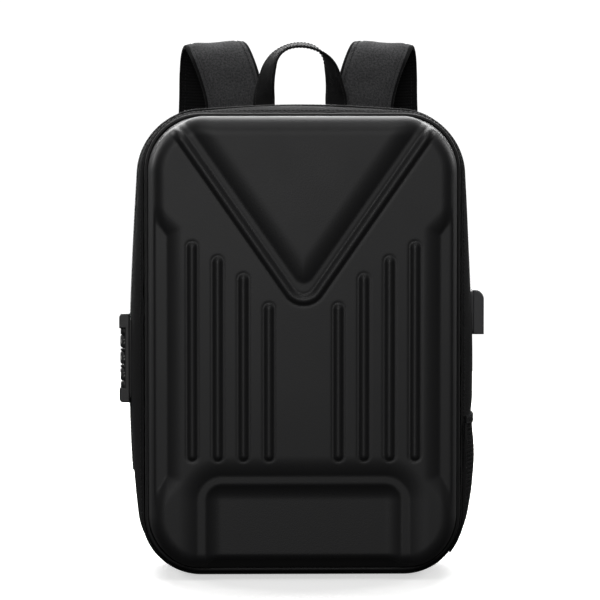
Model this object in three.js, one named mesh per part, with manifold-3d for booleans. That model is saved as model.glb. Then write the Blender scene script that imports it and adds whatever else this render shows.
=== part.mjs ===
// A hard shell backpack: a moulded front shell on a fabric body, with shoulder straps, a carry handle,
// a three-dial combination lock on one side, and a charging port and a mesh pocket on the other.
// Millimetres, +Z up. The front faces -Y. The origin is on the floor, under the flat of the base.
import * as THREE from "three";
import { mergeVertices } from "three/addons/utils/BufferGeometryUtils.js";
import Module from "manifold-3d";

const wasm = await Module();
wasm.setup();

// Driving sizes of the body
const BODY_HEIGHT = 450;
const BODY_WIDTH = 332;
const GUSSET_DEPTH = 106;
const BASE_CENTRE = 0.49; // share of the gusset's depth that lies in front of the origin
const SHELL_DEPTH = 44;
const PANEL_DEPTH = 12;
const FABRIC = 2;
const GAP = 0.3; // clearance between two pieces that are sewn or screwed together

// How far the gusset stands outside the shell's edge, all round and then where it bellies out
const SIDE_SET = 4.5;
const TOP_SET = 2.5;
const SHELL_LIFT = 6;
const SIDE_BELLY = 11.5;
const TOP_CROWN = 4.5;
const POCKET_DENT = 9; // how far the pocket's elastic presses the side wall in

// The shell
const SHELL_WALL = 5;
const SHELL_ROLL = 15; // radius between its sides and its face
const SHELL_DRAFT = 3;
const SHELL_TOP_RADIUS = 54;
const SHELL_BOTTOM_RADIUS = 53;
const PIPING_RADIUS = 1.9;

// The relief on the shell's face
const V_ANGLE = THREE.MathUtils.degToRad(35); // each arm from the vertical
const V_TIP_HEIGHT = 267.4; // crest of the V rib at its tip
const V_TIP_RADIUS = 16.5;
const V_TOP_HEIGHT = 431; // where its arms run out over the shell's rolled corners
const V_BAND = 12; // from the V rib's crest to the crease of the panel between its arms
const PANEL_TIP_CUT = 12; // how far that crease's point is cut off
const RIB_WIDTH = 9.4;
const RIB_HEIGHT = 3.2;
const RIB_FIRST = 32.7;
const RIB_PITCH = 24.1;
const RIB_FOOT_HEIGHT = 115.4;
const RIB_TOPS = [264.1, 291.9, 308.3, 322]; // from the middle outwards
const SCOOP_DEPTH = 3.2;
const SCOOP_WIDTH = 14.5;
const STRIP_INNER = 125.4; // sideways from the middle to the side strip's crease
const STRIP_TOP_HEIGHT = 328.6;
const STRIP_FOOT_HEIGHT = 100.8;
const ARCH_TOP_HEIGHT = 100.8;
const ARCH_HALF = 100.5;
const ARCH_BAND = 8.2;
const ARCH_RADIUS = 23.5;
const ARCH_SCOOP_WIDTH = 12;

// The zip, the lock and its dials
const ZIP_PLACE = 0.69; // share of the gusset's depth
const ZIP_WIDTH = 8;
const ZIP_THICK = 1.6;
const ZIP_FOOT_HEIGHT = 70;
const SLIDER_LENGTH = 13;
const SLIDER_WIDTH = 9;
const SLIDER_THICK = 3;
const LOCK_HEIGHT = 207; // middle of the lock above the floor
const LOCK_PLACE = 0.47; // share of the gusset's depth
const LOCK_LENGTH = 86;
const LOCK_WIDTH = 24;
const LOCK_RISE = 10;
const LOCK_END = 14;
const LOCK_ROUND = 4; // radius of its outer corners
const LOCK_FLOOR = 4.6; // height of the plate beside the dials
const LOCK_SINK = 5.5; // how deep the lock's body reaches into the bag
const LOCK_SHORT = 5.5; // how much shorter that body is at each end
const DIAL_COUNT = 3;
const DIAL_RADIUS = 6.4;
const DIAL_GROOVE = 0.7;
const DIAL_CHAMFER = 1.3;
const DIAL_PITCH = 16;
const DIAL_TALL = 12.8;
const DIAL_PLAY = 0.8;
const DIAL_DIGITS = 10;
const AXLE_RADIUS = 1.6;

// The charging port
const PORT_HEIGHT = 229.6;
const PORT_PLACE = 0.47;
const PORT_TALL = 43;
const PORT_WIDE = 21;
const PORT_RISE = 10.8;
const PORT_ROUND = 9;
const PORT_MOUTH_WIDE = 14;
const PORT_MOUTH_THICK = 6;
const PORT_MOUTH_DEEP = 19;
const SOCKET_DEEP = 10;
const SOCKET_WALL = 0.6;
const TONGUE_THICK = 1.9;

// The mesh pocket
const POCKET_TOP = 145;
const POCKET_FOOT = 23;
const POCKET_FRONT = 0.06; // shares of the gusset's depth, each at one of its rows
const POCKET_REAR = 0.94;
const POCKET_HOLLOW = 9.5;
const POCKET_MOUTH = 5.2;
const POCKET_WALL = 1.4;
const HEM_TALL = 8;
const HEM_WALL = 1.8;

// Handle, straps and webbing
const HANDLE_WIDE = 21.5;
const HANDLE_THICK = 2.6;
const HANDLE_HALF = 35.5;
const HANDLE_RISE = 62.5;
const HANDLE_TILT = THREE.MathUtils.degToRad(7);
const PAD_WIDE = 63;
const PAD_THICK = 11;
const STRAP_REACH = 67; // furthest that a strap's middle line stands behind the back panel
const STRAP_SPREAD = 118; // a strap's lower end, sideways from the middle
const WEB_WIDE = 25;
const WEB_THICK = 1.6;
const WEB_TAIL = 78;
const WEB_LEAVE = 26;
const WEB_SEWN = 9;
const BUCKLE_WIDE = 34;
const BUCKLE_THICK = 4;
const BUCKLE_BAR = 5;
const BUCKLE_SLOT = 7.5;
const BUCKLE_DROP = 30; // from the strap's end to the buckle's middle
const ANCHOR_WIDE = 46;
const ANCHOR_TALL = 30;
const ANCHOR_FOOT = 18;
const ANCHOR_X = 112;

// Worked out from the sizes above
const EDGE_Y = -GUSSET_DEPTH * BASE_CENTRE;
const REAR_Y = EDGE_Y + GUSSET_DEPTH;
const FACE_Y = EDGE_Y - SHELL_DEPTH;
const PANEL_REAR_Y = REAR_Y + GAP + PANEL_DEPTH;
const SHELL_HALF = BODY_WIDTH / 2 - SIDE_BELLY - SIDE_SET;
const SHELL_TOP = BODY_HEIGHT - TOP_CROWN - TOP_SET;

const vec = (x, y, z) => new THREE.Vector3(x, y, z);
const mix = THREE.MathUtils.lerp;

// A closed set of triangles as a geometry, turned over if it is inside out
function facingOut(points, faces) {
  const cross = vec(0, 0, 0);
  const volume = faces.reduce(
    (sum, [a, b, c]) => sum + points[a].dot(cross.crossVectors(points[b], points[c])),
    0,
  );
  const outward = volume < 0 ? faces.map(([a, b, c]) => [a, c, b]) : faces;
  return new THREE.BufferGeometry().setFromPoints(points).setIndex(outward.flat());
}

// Closed solid through rings of equal length. Each end closes on a pole, or else the last ring joins the first.
function skin(rings, startPole, endPole) {
  const count = rings[0].length;
  const points = rings.flat();
  const faces = [];
  const joined = startPole ? rings.length - 1 : rings.length;
  for (let r = 0; r < joined; r++) {
    const here = r * count;
    const next = ((r + 1) % rings.length) * count;
    for (let i = 0; i < count; i++) {
      const j = (i + 1) % count;
      faces.push([here + i, here + j, next + j], [here + i, next + j, next + i]);
    }
  }
  if (startPole) {
    const last = (rings.length - 1) * count;
    const start = points.push(startPole) - 1;
    const end = points.push(endPole) - 1;
    for (let i = 0; i < count; i++) {
      const j = (i + 1) % count;
      faces.push([start, j, i], [end, last + i, last + j]);
    }
  }
  return facingOut(points, faces);
}

const middleOf = (ring) => ring.reduce((sum, p) => sum.add(p), vec(0, 0, 0)).divideScalar(ring.length);

// Closed solid swept through sections, each end closed on the section's middle
const sweep = (sections) => skin(sections, middleOf(sections[0]), middleOf(sections[sections.length - 1]));

function solidOf(geometry) {
  const bare = geometry.index ? geometry.toNonIndexed() : geometry.clone();
  bare.deleteAttribute("normal");
  bare.deleteAttribute("uv");
  const merged = mergeVertices(bare, 1e-3);
  return new wasm.Manifold(
    new wasm.Mesh({
      numProp: 3,
      vertProperties: merged.attributes.position.array,
      triVerts: new Uint32Array(merged.index.array),
    }),
  );
}

function geometryOf(solid) {
  const mesh = solid.getMesh();
  const position = new THREE.BufferAttribute(mesh.vertProperties, 3);
  return new THREE.BufferGeometry()
    .setAttribute("position", position)
    .setIndex(new THREE.BufferAttribute(mesh.triVerts, 1));
}

const boxSolid = (low, high) =>
  solidOf(
    new THREE.BoxGeometry(high.x - low.x, high.y - low.y, high.z - low.z).translate(
      (low.x + high.x) / 2,
      (low.y + high.y) / 2,
      (low.z + high.z) / 2,
    ),
  );

// The side wall's belly: nothing at its low and high ends, and fullest at its peak, all as shares of the height
const BELLY_LOW = 0.09;
const BELLY_HIGH = 0.97;
const BELLY_PEAK = 0.42;
function bellyAt(z) {
  const t = (z / BODY_HEIGHT - BELLY_LOW) / (BELLY_HIGH - BELLY_LOW);
  const power = Math.log(0.5) / Math.log((BELLY_PEAK - BELLY_LOW) / (BELLY_HIGH - BELLY_LOW));
  return t <= 0 || t >= 1 ? 0 : Math.sin(Math.PI * t ** power);
}

// The dent behind the pocket: it fades below the pocket's foot, and from just under its top upwards
const DENT_FADE = 40;
function dentAt(z) {
  const { smoothstep } = THREE.MathUtils;
  return smoothstep(z, 0, POCKET_FOOT * 4) * (1 - smoothstep(z, POCKET_TOP - DENT_FADE / 3, POCKET_TOP + DENT_FADE));
}

const CORNER_STEPS = 7;
const SIDE_STEPS = 9;
const TOP_STEPS = 4;
const FOOT_STEPS = 2;

// A rounded rectangle in X and Z, from the middle of its foot round by the right: equal counts of points for every form.
// form has half, top, bottom, topRadius, bottomRadius, belly, crown and dent.
function outline(form) {
  const right = [];
  const corner = (radius, z, from) => {
    for (let i = 0; i <= CORNER_STEPS; i++) {
      const a = from + (i / CORNER_STEPS) * (Math.PI / 2);
      right.push([form.half - radius + radius * Math.cos(a), z + radius * Math.sin(a)]);
    }
  };
  for (let i = 1; i < FOOT_STEPS; i++) {
    right.push([((form.half - form.bottomRadius) * i) / FOOT_STEPS, form.bottom]);
  }
  corner(form.bottomRadius, form.bottom + form.bottomRadius, -Math.PI / 2);
  const sideFrom = form.bottom + form.bottomRadius;
  const sideTo = form.top - form.topRadius;
  for (let i = 1; i < SIDE_STEPS; i++) {
    right.push([form.half, mix(sideFrom, sideTo, i / SIDE_STEPS)]);
  }
  corner(form.topRadius, sideTo, 0);
  for (let i = 1; i < TOP_STEPS; i++) {
    right.push([(form.half - form.topRadius) * (1 - i / TOP_STEPS), form.top]);
  }
  const crowned = (x) => {
    const t = Math.min(1, Math.abs(x) / (form.half - form.topRadius));
    return form.crown * Math.cos((t * Math.PI) / 2);
  };
  const shaped = (x, z, side) => {
    const belly = form.belly * bellyAt(z) - (side > 0 ? form.dent * dentAt(z) : 0);
    const lift = z > BODY_HEIGHT / 2 && Math.abs(z - form.top) < 1e-6 ? crowned(x) : 0;
    return [side * (x + belly), z + lift];
  };
  return [
    [0, form.bottom],
    ...right.map(([x, z]) => shaped(x, z, 1)),
    [0, form.top + form.crown],
    ...right.reverse().map(([x, z]) => shaped(x, z, -1)),
  ];
}

// The shell's own outline, taken in by an inset
const shellForm = (inset) => ({
  half: SHELL_HALF - inset,
  top: SHELL_TOP - inset,
  bottom: SHELL_LIFT + inset,
  topRadius: SHELL_TOP_RADIUS - inset,
  bottomRadius: SHELL_BOTTOM_RADIUS - inset,
  belly: 0,
  crown: 0,
  dent: 0,
});
const ringAt = (form, y) => outline(form).map(([x, z]) => vec(x, y, z));

// Rings over a dish: straight drafted side, quarter-round roll, then the face drawn in to its middle
function dishRings(inset, edgeY, faceY, roll) {
  const steps = 4;
  const rings = [ringAt(shellForm(inset), edgeY), ringAt(shellForm(inset + SHELL_DRAFT), faceY + roll)];
  for (let i = 1; i <= steps; i++) {
    const a = ((i / steps) * Math.PI) / 2;
    rings.push(ringAt(shellForm(inset + SHELL_DRAFT + roll * (1 - Math.cos(a))), faceY + roll * (1 - Math.sin(a))));
  }
  return rings;
}

// A point on the shell's outer face and the way it faces there
function onShell(x, z) {
  const side = Math.sign(x) || 1;
  const radius = z > BODY_HEIGHT / 2 ? SHELL_TOP_RADIUS : SHELL_BOTTOM_RADIUS;
  const cornerX = SHELL_HALF - radius;
  const cornerZ = z > BODY_HEIGHT / 2 ? SHELL_TOP - radius : SHELL_LIFT + radius;
  const past = vec(Math.max(0, Math.abs(x) - cornerX), 0, z > BODY_HEIGHT / 2 ? Math.max(0, z - cornerZ) : Math.max(0, cornerZ - z));
  const inset = radius - past.length();
  const share = THREE.MathUtils.clamp(1 - (inset - SHELL_DRAFT) / SHELL_ROLL, 0, 1);
  const out = past.lengthSq() ? past.clone().normalize() : vec(0, 0, 0);
  const rise = Math.sqrt(1 - share * share);
  const normal = vec(out.x * side * share, -rise, out.z * (z > BODY_HEIGHT / 2 ? 1 : -1) * share);
  return { point: vec(x, FACE_Y + SHELL_ROLL * (1 - rise), z), normal: normal.normalize() };
}

// The way a path on the shell's face runs at each of its places, measured on the surface itself
const waysAlong = (places) => {
  const points = places.map(({ x, z }) => onShell(x, z).point);
  return points.map((p, i) => {
    const after = points[Math.min(points.length - 1, i + 1)];
    const before = points[Math.max(0, i - 1)];
    return after.clone().sub(before).normalize();
  });
};

// A half-round bead's section: sideways and height, as shares of its width and height, with its foot sunk in the wall
const BEAD = [
  { side: -0.5, rise: -0.5 },
  { side: -0.5, rise: 0 },
  { side: -0.32, rise: 0.72 },
  { side: 0, rise: 1 },
  { side: 0.32, rise: 0.72 },
  { side: 0.5, rise: 0 },
  { side: 0.5, rise: -0.5 },
];
function beadSection(x, z, along, scale) {
  const { point, normal } = onShell(x, z);
  const across = vec(0, 0, 0).crossVectors(normal, along).normalize();
  return BEAD.map(({ side, rise }) =>
    point
      .clone()
      .addScaledVector(across, side * RIB_WIDTH * scale)
      .addScaledVector(normal, rise * RIB_HEIGHT * (rise > 0 ? scale : 1)),
  );
}

// The V rib: down the right arm, round the tip and up the left arm, running out over the rolled top edge
const V_ARM_SHARES = [
  { share: 1, scale: 0.35 },
  { share: 0.985, scale: 0.8 },
  { share: 0.96, scale: 1 },
  { share: 0.92, scale: 1 },
  { share: 0.86, scale: 1 },
  { share: 0.5, scale: 1 },
  { share: 0, scale: 1 },
];
function vRib() {
  const centreZ = V_TIP_HEIGHT + V_TIP_RADIUS;
  const start = { x: V_TIP_RADIUS * Math.cos(V_ANGLE), z: centreZ - V_TIP_RADIUS * Math.sin(V_ANGLE) };
  const reach = V_TOP_HEIGHT - start.z;
  const arm = V_ARM_SHARES.map(({ share, scale }) => ({
    x: start.x + reach * share * Math.tan(V_ANGLE),
    z: start.z + reach * share,
    scale,
  }));
  const turn = Math.PI / 2 - V_ANGLE;
  const tipSteps = 6;
  const tip = [];
  for (let i = 1; i < tipSteps; i++) {
    const a = mix(turn, -turn, i / tipSteps);
    tip.push({ x: V_TIP_RADIUS * Math.sin(a), z: centreZ - V_TIP_RADIUS * Math.cos(a), scale: 1 });
  }
  const places = [...arm, ...tip, ...arm.map((row) => ({ ...row, x: -row.x })).reverse()];
  const ways = waysAlong(places);
  return sweep(places.map(({ x, z, scale }, i) => beadSection(x, z, ways[i], scale)));
}

// One upright rib with rounded ends
function uprightRib(x, foot, top) {
  const ends = [
    { along: 0.05, scale: 0.35 },
    { along: 0.35, scale: 0.8 },
    { along: 0.8, scale: 1 },
  ];
  const up = vec(0, 0, 1);
  const low = ends.map(({ along, scale }) => beadSection(x, foot + along * RIB_WIDTH, up, scale));
  const high = ends.map(({ along, scale }) => beadSection(x, top - along * RIB_WIDTH, up, scale)).reverse();
  return sweep([...low, ...high]);
}

// A scoop beside a crease: deepest at the crease, fading over its width
const SCOOP = [
  { over: 0, depth: -3 },
  { over: 0, depth: 1 },
  { over: 0.3, depth: 0.55 },
  { over: 0.62, depth: 0.2 },
  { over: 1, depth: -0.1 },
  { over: 1, depth: -3 },
];
// crease is a list of [x, z], and the scoop lies to the left of the way it runs
function scoop(crease, width, depth) {
  const points = crease.map(([x, z]) => new THREE.Vector2(x, z));
  const leftOf = (a, b) => b.clone().sub(a).normalize().rotateAround(new THREE.Vector2(), Math.PI / 2);
  const sections = points.map((p, i) => {
    const before = i > 0 ? leftOf(points[i - 1], p) : leftOf(p, points[i + 1]);
    const after = i < points.length - 1 ? leftOf(p, points[i + 1]) : before;
    const mitre = before.clone().add(after).normalize();
    mitre.divideScalar(mitre.dot(before));
    return SCOOP.map(({ over, depth: share }) =>
      vec(p.x + mitre.x * over * width, FACE_Y + share * depth, p.y + mitre.y * over * width),
    );
  });
  return sweep(sections);
}

// The side strip's crease on the right, from below its foot to above its top, with a slanted run at each end
function stripCrease() {
  const run = SHELL_HALF - STRIP_INNER;
  return [
    [STRIP_INNER + run, STRIP_FOOT_HEIGHT - run * 1.25],
    [STRIP_INNER, STRIP_FOOT_HEIGHT],
    [STRIP_INNER, STRIP_TOP_HEIGHT],
    [STRIP_INNER + run, STRIP_TOP_HEIGHT + run],
  ];
}

// The arch's crease, taken in by an inset: up the right leg, over the top and down the left leg
function archCrease(inset) {
  const half = ARCH_HALF - inset;
  const radius = ARCH_RADIUS - inset;
  const top = ARCH_TOP_HEIGHT - inset;
  const steps = 5;
  const right = [[half, -SHELL_LIFT]];
  for (let i = 0; i <= steps; i++) {
    const a = ((i / steps) * Math.PI) / 2;
    right.push([half - radius + radius * Math.cos(a), top - radius + radius * Math.sin(a)]);
  }
  const left = right.map(([x, z]) => [-x, z]).reverse();
  return [...right, [0, top], ...left];
}

// The crease of the panel between the V's arms: down the left side, across the blunt tip and up the right side
function panelCrease() {
  const slant = Math.tan(V_ANGLE);
  const tipDrop = V_TIP_RADIUS * (1 / Math.sin(V_ANGLE) - 1);
  const tip = V_TIP_HEIGHT - tipDrop + V_BAND / Math.sin(V_ANGLE);
  const cutX = PANEL_TIP_CUT * slant;
  const topX = (SHELL_TOP - tip) * slant;
  return [
    [-topX, SHELL_TOP],
    [-cutX, tip + PANEL_TIP_CUT],
    [cutX, tip + PANEL_TIP_CUT],
    [topX, SHELL_TOP],
  ];
}

// The face's facets meet below the ribs' middle and off the middle plane, so no cut runs along one of their edges
const FACET_CENTRE = { x: 1.7, z: 190 };
function frontShell() {
  const outer = dishRings(0, EDGE_Y - GAP, FACE_Y, SHELL_ROLL);
  const inner = dishRings(SHELL_WALL, EDGE_Y - GAP, FACE_Y + SHELL_WALL, SHELL_ROLL - SHELL_WALL);
  const poleIn = vec(FACET_CENTRE.x, FACE_Y + SHELL_WALL, FACET_CENTRE.z);
  const poleOut = vec(FACET_CENTRE.x, FACE_Y, FACET_CENTRE.z);
  let solid = solidOf(skin([...inner.reverse(), ...outer], poleIn, poleOut));
  const mirrored = (crease) => crease.map(([x, z]) => [-x, z]).reverse();
  const wide = [stripCrease(), mirrored(stripCrease()), panelCrease(), archCrease(0).reverse()];
  for (const crease of wide) {
    solid = solid.subtract(solidOf(scoop(crease, SCOOP_WIDTH, SCOOP_DEPTH)));
  }
  solid = solid.subtract(solidOf(scoop(archCrease(ARCH_BAND), ARCH_SCOOP_WIDTH, SCOOP_DEPTH)));
  solid = solid.add(solidOf(vRib()));
  RIB_TOPS.forEach((top, i) => {
    const x = RIB_FIRST + RIB_PITCH * i;
    for (const side of [-1, 1]) {
      solid = solid.add(solidOf(uprightRib(side * x, RIB_FOOT_HEIGHT, top)));
    }
  });
  return geometryOf(solid);
}

// The bead of piping round the shell's edge
function piping() {
  const sides = 6;
  const rings = [];
  for (let i = 0; i < sides; i++) {
    const a = (i / sides) * 2 * Math.PI;
    const out = GAP + PIPING_RADIUS + PIPING_RADIUS * Math.cos(a);
    rings.push(ringAt(shellForm(-out), EDGE_Y - GAP - PIPING_RADIUS + PIPING_RADIUS * Math.sin(a)));
  }
  return skin(rings);
}

// The gusset from front to back: depth is a share of its depth, and the rest are shares of its set, belly and crown
const GUSSET_ROWS = [
  { depth: 0, set: 0.3, belly: 0, crown: 0 },
  { depth: 0.06, set: 0.75, belly: 0.22, crown: 0.3 },
  { depth: 0.18, set: 1, belly: 0.66, crown: 0.7 },
  { depth: 0.36, set: 1, belly: 0.95, crown: 1 },
  { depth: 0.56, set: 1, belly: 1, crown: 1 },
  { depth: 0.8, set: 1, belly: 0.78, crown: 0.85 },
  { depth: 0.94, set: 0.94, belly: 0.34, crown: 0.6 },
  { depth: 1, set: 0.8, belly: 0.1, crown: 0.4 },
];

// The gusset's outline at a share of its depth, moved outwards
function gussetForm(depth, out) {
  const next = Math.max(1, GUSSET_ROWS.findIndex((row) => row.depth >= depth - 1e-9));
  const [a, b] = [GUSSET_ROWS[next - 1], GUSSET_ROWS[next]];
  const t = (depth - a.depth) / (b.depth - a.depth);
  const set = mix(a.set, b.set, t);
  const belly = mix(a.belly, b.belly, t);
  return {
    half: SHELL_HALF + SIDE_SET * set + out,
    top: SHELL_TOP + TOP_SET * set + out,
    bottom: SHELL_LIFT * (1 - set) - out,
    topRadius: SHELL_TOP_RADIUS + SIDE_SET * set + out,
    bottomRadius: SHELL_BOTTOM_RADIUS + SIDE_SET * set + out,
    belly: SIDE_BELLY * belly,
    crown: TOP_CROWN * mix(a.crown, b.crown, t),
    dent: POCKET_DENT * belly,
  };
}
const depthY = (depth) => EDGE_Y + GUSSET_DEPTH * depth;
const gussetRing = (depth, out) => ringAt(gussetForm(depth, out), depthY(depth));

// How far the gusset's side stands from the middle, at a share of its depth and a height
function sideAt(side, depth, z) {
  const ring = gussetRing(depth, 0).filter((p) => p.x * side > 0);
  const rows = ring.sort((p, q) => p.z - q.z);
  const next = rows.findIndex((p) => p.z >= z);
  const [a, b] = [rows[next - 1], rows[next]];
  return Math.abs(mix(a.x, b.x, (z - a.z) / (b.z - a.z)));
}

// The furthest that the side stands from the middle under a part with a flat back
function farSide(side, y, halfWide, low, high) {
  let far = 0;
  const count = 12;
  for (let i = 0; i <= count; i++) {
    for (let j = 0; j <= count; j++) {
      const depth = (mix(y - halfWide, y + halfWide, i / count) - EDGE_Y) / GUSSET_DEPTH;
      far = Math.max(far, sideAt(side, depth, mix(low, high, j / count)));
    }
  }
  return far + GAP;
}

// The plane that the lock's flange lies on
const LOCK_Y = depthY(LOCK_PLACE);
const LOCK_LOW = LOCK_HEIGHT - LOCK_LENGTH / 2;
const LOCK_FACE_X = -farSide(-1, LOCK_Y, LOCK_WIDTH / 2, LOCK_LOW, LOCK_LOW + LOCK_LENGTH);

function gusset() {
  const outer = GUSSET_ROWS.map(({ depth }) => gussetRing(depth, 0));
  const inner = [1, 0.8, 0.56, 0.18, 0].map((depth) => gussetRing(depth, -FABRIC));
  const wall = solidOf(skin([...outer, ...inner]));
  const play = GAP + 0.1;
  const halfLong = LOCK_LENGTH / 2 - LOCK_SHORT + play;
  const halfWide = LOCK_WIDTH / 2 - 3 + play;
  const hole = boxSolid(
    vec(LOCK_FACE_X - FABRIC, LOCK_Y - halfWide, LOCK_HEIGHT - halfLong),
    vec(LOCK_FACE_X + FABRIC * 3, LOCK_Y + halfWide, LOCK_HEIGHT + halfLong),
  );
  return geometryOf(wall.subtract(hole));
}

// The back panel's rings from its front edge to its rear face: inward and back, as shares of its pad's edge and depth
const PAD_EDGE = 30;
const PANEL_ROWS = [
  { inward: 0.06, back: 0 },
  { inward: 0, back: 0.18 },
  { inward: 0, back: 0.4 },
  { inward: 0.14, back: 0.62 },
  { inward: 0.45, back: 0.86 },
  { inward: 1, back: 1 },
];
function backPanel() {
  const rings = PANEL_ROWS.map(({ inward, back }) => {
    const form = { ...gussetForm(1, -inward * PAD_EDGE), dent: 0 };
    return ringAt(form, REAR_Y + GAP + back * PANEL_DEPTH);
  });
  const z = BODY_HEIGHT / 2;
  return skin(rings, vec(0, REAR_Y + GAP, z), vec(0, PANEL_REAR_Y, z));
}

// The rear face of the back panel at a place near its foot
function panelRearAt(x, z) {
  const form = gussetForm(1, 0);
  const past = Math.max(0, Math.abs(x) - (form.half - form.bottomRadius));
  const low = form.bottom + form.bottomRadius - z;
  const inside = form.bottomRadius - Math.hypot(past, Math.max(0, low));
  const share = THREE.MathUtils.clamp(inside / PAD_EDGE, 0, 1);
  const next = PANEL_ROWS.findIndex((row, i) => i > 2 && row.inward >= share);
  const [a, b] = [PANEL_ROWS[next - 1], PANEL_ROWS[next]];
  const t = (share - a.inward) / (b.inward - a.inward);
  return REAR_Y + GAP + PANEL_DEPTH * mix(a.back, b.back, t);
}

// The zip: a strip on the gusset that runs up one side, over the top and down the other
function zip() {
  const halfShare = ZIP_WIDTH / 2 / GUSSET_DEPTH;
  const corners = [
    [ZIP_PLACE - halfShare, GAP],
    [ZIP_PLACE + halfShare, GAP],
    [ZIP_PLACE + halfShare, GAP + ZIP_THICK],
    [ZIP_PLACE - halfShare, GAP + ZIP_THICK],
  ];
  const edges = corners.map(([depth, out]) => gussetRing(depth, out));
  const kept = edges[0].map((p, i) => i).filter((i) => edges[0][i].z > ZIP_FOOT_HEIGHT);
  return sweep(kept.map((i) => edges.map((ring) => ring[i])));
}

// A slider on the zip beside the lock, with the pull that points at the lock
function slider(height) {
  const y = depthY(ZIP_PLACE);
  const foot = height - SLIDER_LENGTH / 2;
  const surface = -(farSide(-1, y, SLIDER_WIDTH / 2, foot, foot + SLIDER_LENGTH) + ZIP_THICK + GAP);
  const low = vec(surface - SLIDER_THICK, y - SLIDER_WIDTH / 2, height - SLIDER_LENGTH / 2);
  const body = boxSolid(low, vec(surface, y + SLIDER_WIDTH / 2, height + SLIDER_LENGTH / 2));
  const pullHalf = 3;
  const pullThick = 1.8;
  const lockSide = LOCK_Y + LOCK_WIDTH / 2 + GAP;
  const pull = boxSolid(
    vec(surface - SLIDER_THICK, lockSide, height - pullHalf),
    vec(surface - SLIDER_THICK + pullThick, y, height + pullHalf),
  );
  return geometryOf(body.add(pull));
}

// Where the lock's parts lie, from the plane of its flange outwards
const outFromBag = (rise) => LOCK_FACE_X - rise;
const AXLE_X = outFromBag(LOCK_RISE - DIAL_GROOVE - DIAL_RADIUS);
const dialFoot = (i) => LOCK_HEIGHT - DIAL_TALL / 2 + DIAL_PITCH * (i - (DIAL_COUNT - 1) / 2);

function lockHousing() {
  // The side view: a low plate with a raised block at each end, their outer corners rounded
  const half = LOCK_LENGTH / 2;
  const turn = LOCK_RISE - LOCK_ROUND;
  const inner = half - LOCK_END;
  const profile = new THREE.Shape();
  profile.moveTo(0, -half);
  profile.lineTo(turn, -half);
  profile.absarc(turn, -half + LOCK_ROUND, LOCK_ROUND, -Math.PI / 2, 0, false);
  profile.lineTo(LOCK_RISE, -inner);
  profile.lineTo(LOCK_FLOOR, -inner);
  profile.lineTo(LOCK_FLOOR, inner);
  profile.lineTo(LOCK_RISE, inner);
  profile.absarc(turn, half - LOCK_ROUND, LOCK_ROUND, 0, Math.PI / 2, false);
  profile.lineTo(0, half);
  profile.closePath();
  const bevel = 1;
  const flange = new THREE.ExtrudeGeometry(profile, {
    depth: LOCK_WIDTH - 2 * bevel,
    curveSegments: 4,
    bevelEnabled: true,
    bevelThickness: bevel,
    bevelSize: bevel,
    bevelOffset: -bevel,
    bevelSegments: 1,
  });
  // The shape's x is the rise and its y the height; the extrusion runs along Y
  const place = new THREE.Matrix4().makeBasis(vec(-1, 0, 0), vec(0, 0, 1), vec(0, 1, 0));
  flange.applyMatrix4(place).translate(LOCK_FACE_X, LOCK_Y - LOCK_WIDTH / 2 + bevel, LOCK_HEIGHT);
  const sunk = boxSolid(
    vec(LOCK_FACE_X - LOCK_FLOOR / 2, LOCK_Y - LOCK_WIDTH / 2 + 3, LOCK_HEIGHT - half + LOCK_SHORT),
    vec(LOCK_FACE_X + LOCK_SINK, LOCK_Y + LOCK_WIDTH / 2 - 3, LOCK_HEIGHT + half - LOCK_SHORT),
  );
  const bay = solidOf(
    new THREE.CylinderGeometry(DIAL_RADIUS + DIAL_PLAY, DIAL_RADIUS + DIAL_PLAY, 2 * inner, 20)
      .rotateX(Math.PI / 2)
      .translate(AXLE_X, LOCK_Y, LOCK_HEIGHT),
  );
  const bore = solidOf(
    new THREE.CylinderGeometry(AXLE_RADIUS + GAP, AXLE_RADIUS + GAP, LOCK_LENGTH - 8, 12)
      .rotateX(Math.PI / 2)
      .translate(AXLE_X, LOCK_Y, LOCK_HEIGHT),
  );
  return geometryOf(solidOf(flange).add(sunk).subtract(bay).subtract(bore));
}

const lockAxle = () =>
  new THREE.CylinderGeometry(AXLE_RADIUS, AXLE_RADIUS, LOCK_LENGTH - 9, 12)
    .rotateX(Math.PI / 2)
    .translate(AXLE_X, LOCK_Y, LOCK_HEIGHT);

// A dial with a flat for each digit, a groove between two flats, chamfered rims and a bore for the axle
function dial(foot) {
  const sides = DIAL_DIGITS * 2;
  const ring = (radius, groove, z) => {
    const points = [];
    for (let i = 0; i < sides; i++) {
      const a = ((i + 0.5) / sides) * 2 * Math.PI;
      const r = radius - (i % 2 ? groove : 0);
      points.push(vec(AXLE_X + r * Math.cos(a), LOCK_Y + r * Math.sin(a), z));
    }
    return points;
  };
  const bore = AXLE_RADIUS + GAP;
  return skin([
    ring(bore, 0, foot),
    ring(DIAL_RADIUS - DIAL_CHAMFER, 0, foot),
    ring(DIAL_RADIUS, DIAL_GROOVE, foot + DIAL_CHAMFER),
    ring(DIAL_RADIUS, DIAL_GROOVE, foot + DIAL_TALL - DIAL_CHAMFER),
    ring(DIAL_RADIUS - DIAL_CHAMFER, 0, foot + DIAL_TALL),
    ring(bore, 0, foot + DIAL_TALL),
  ]);
}

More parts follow.
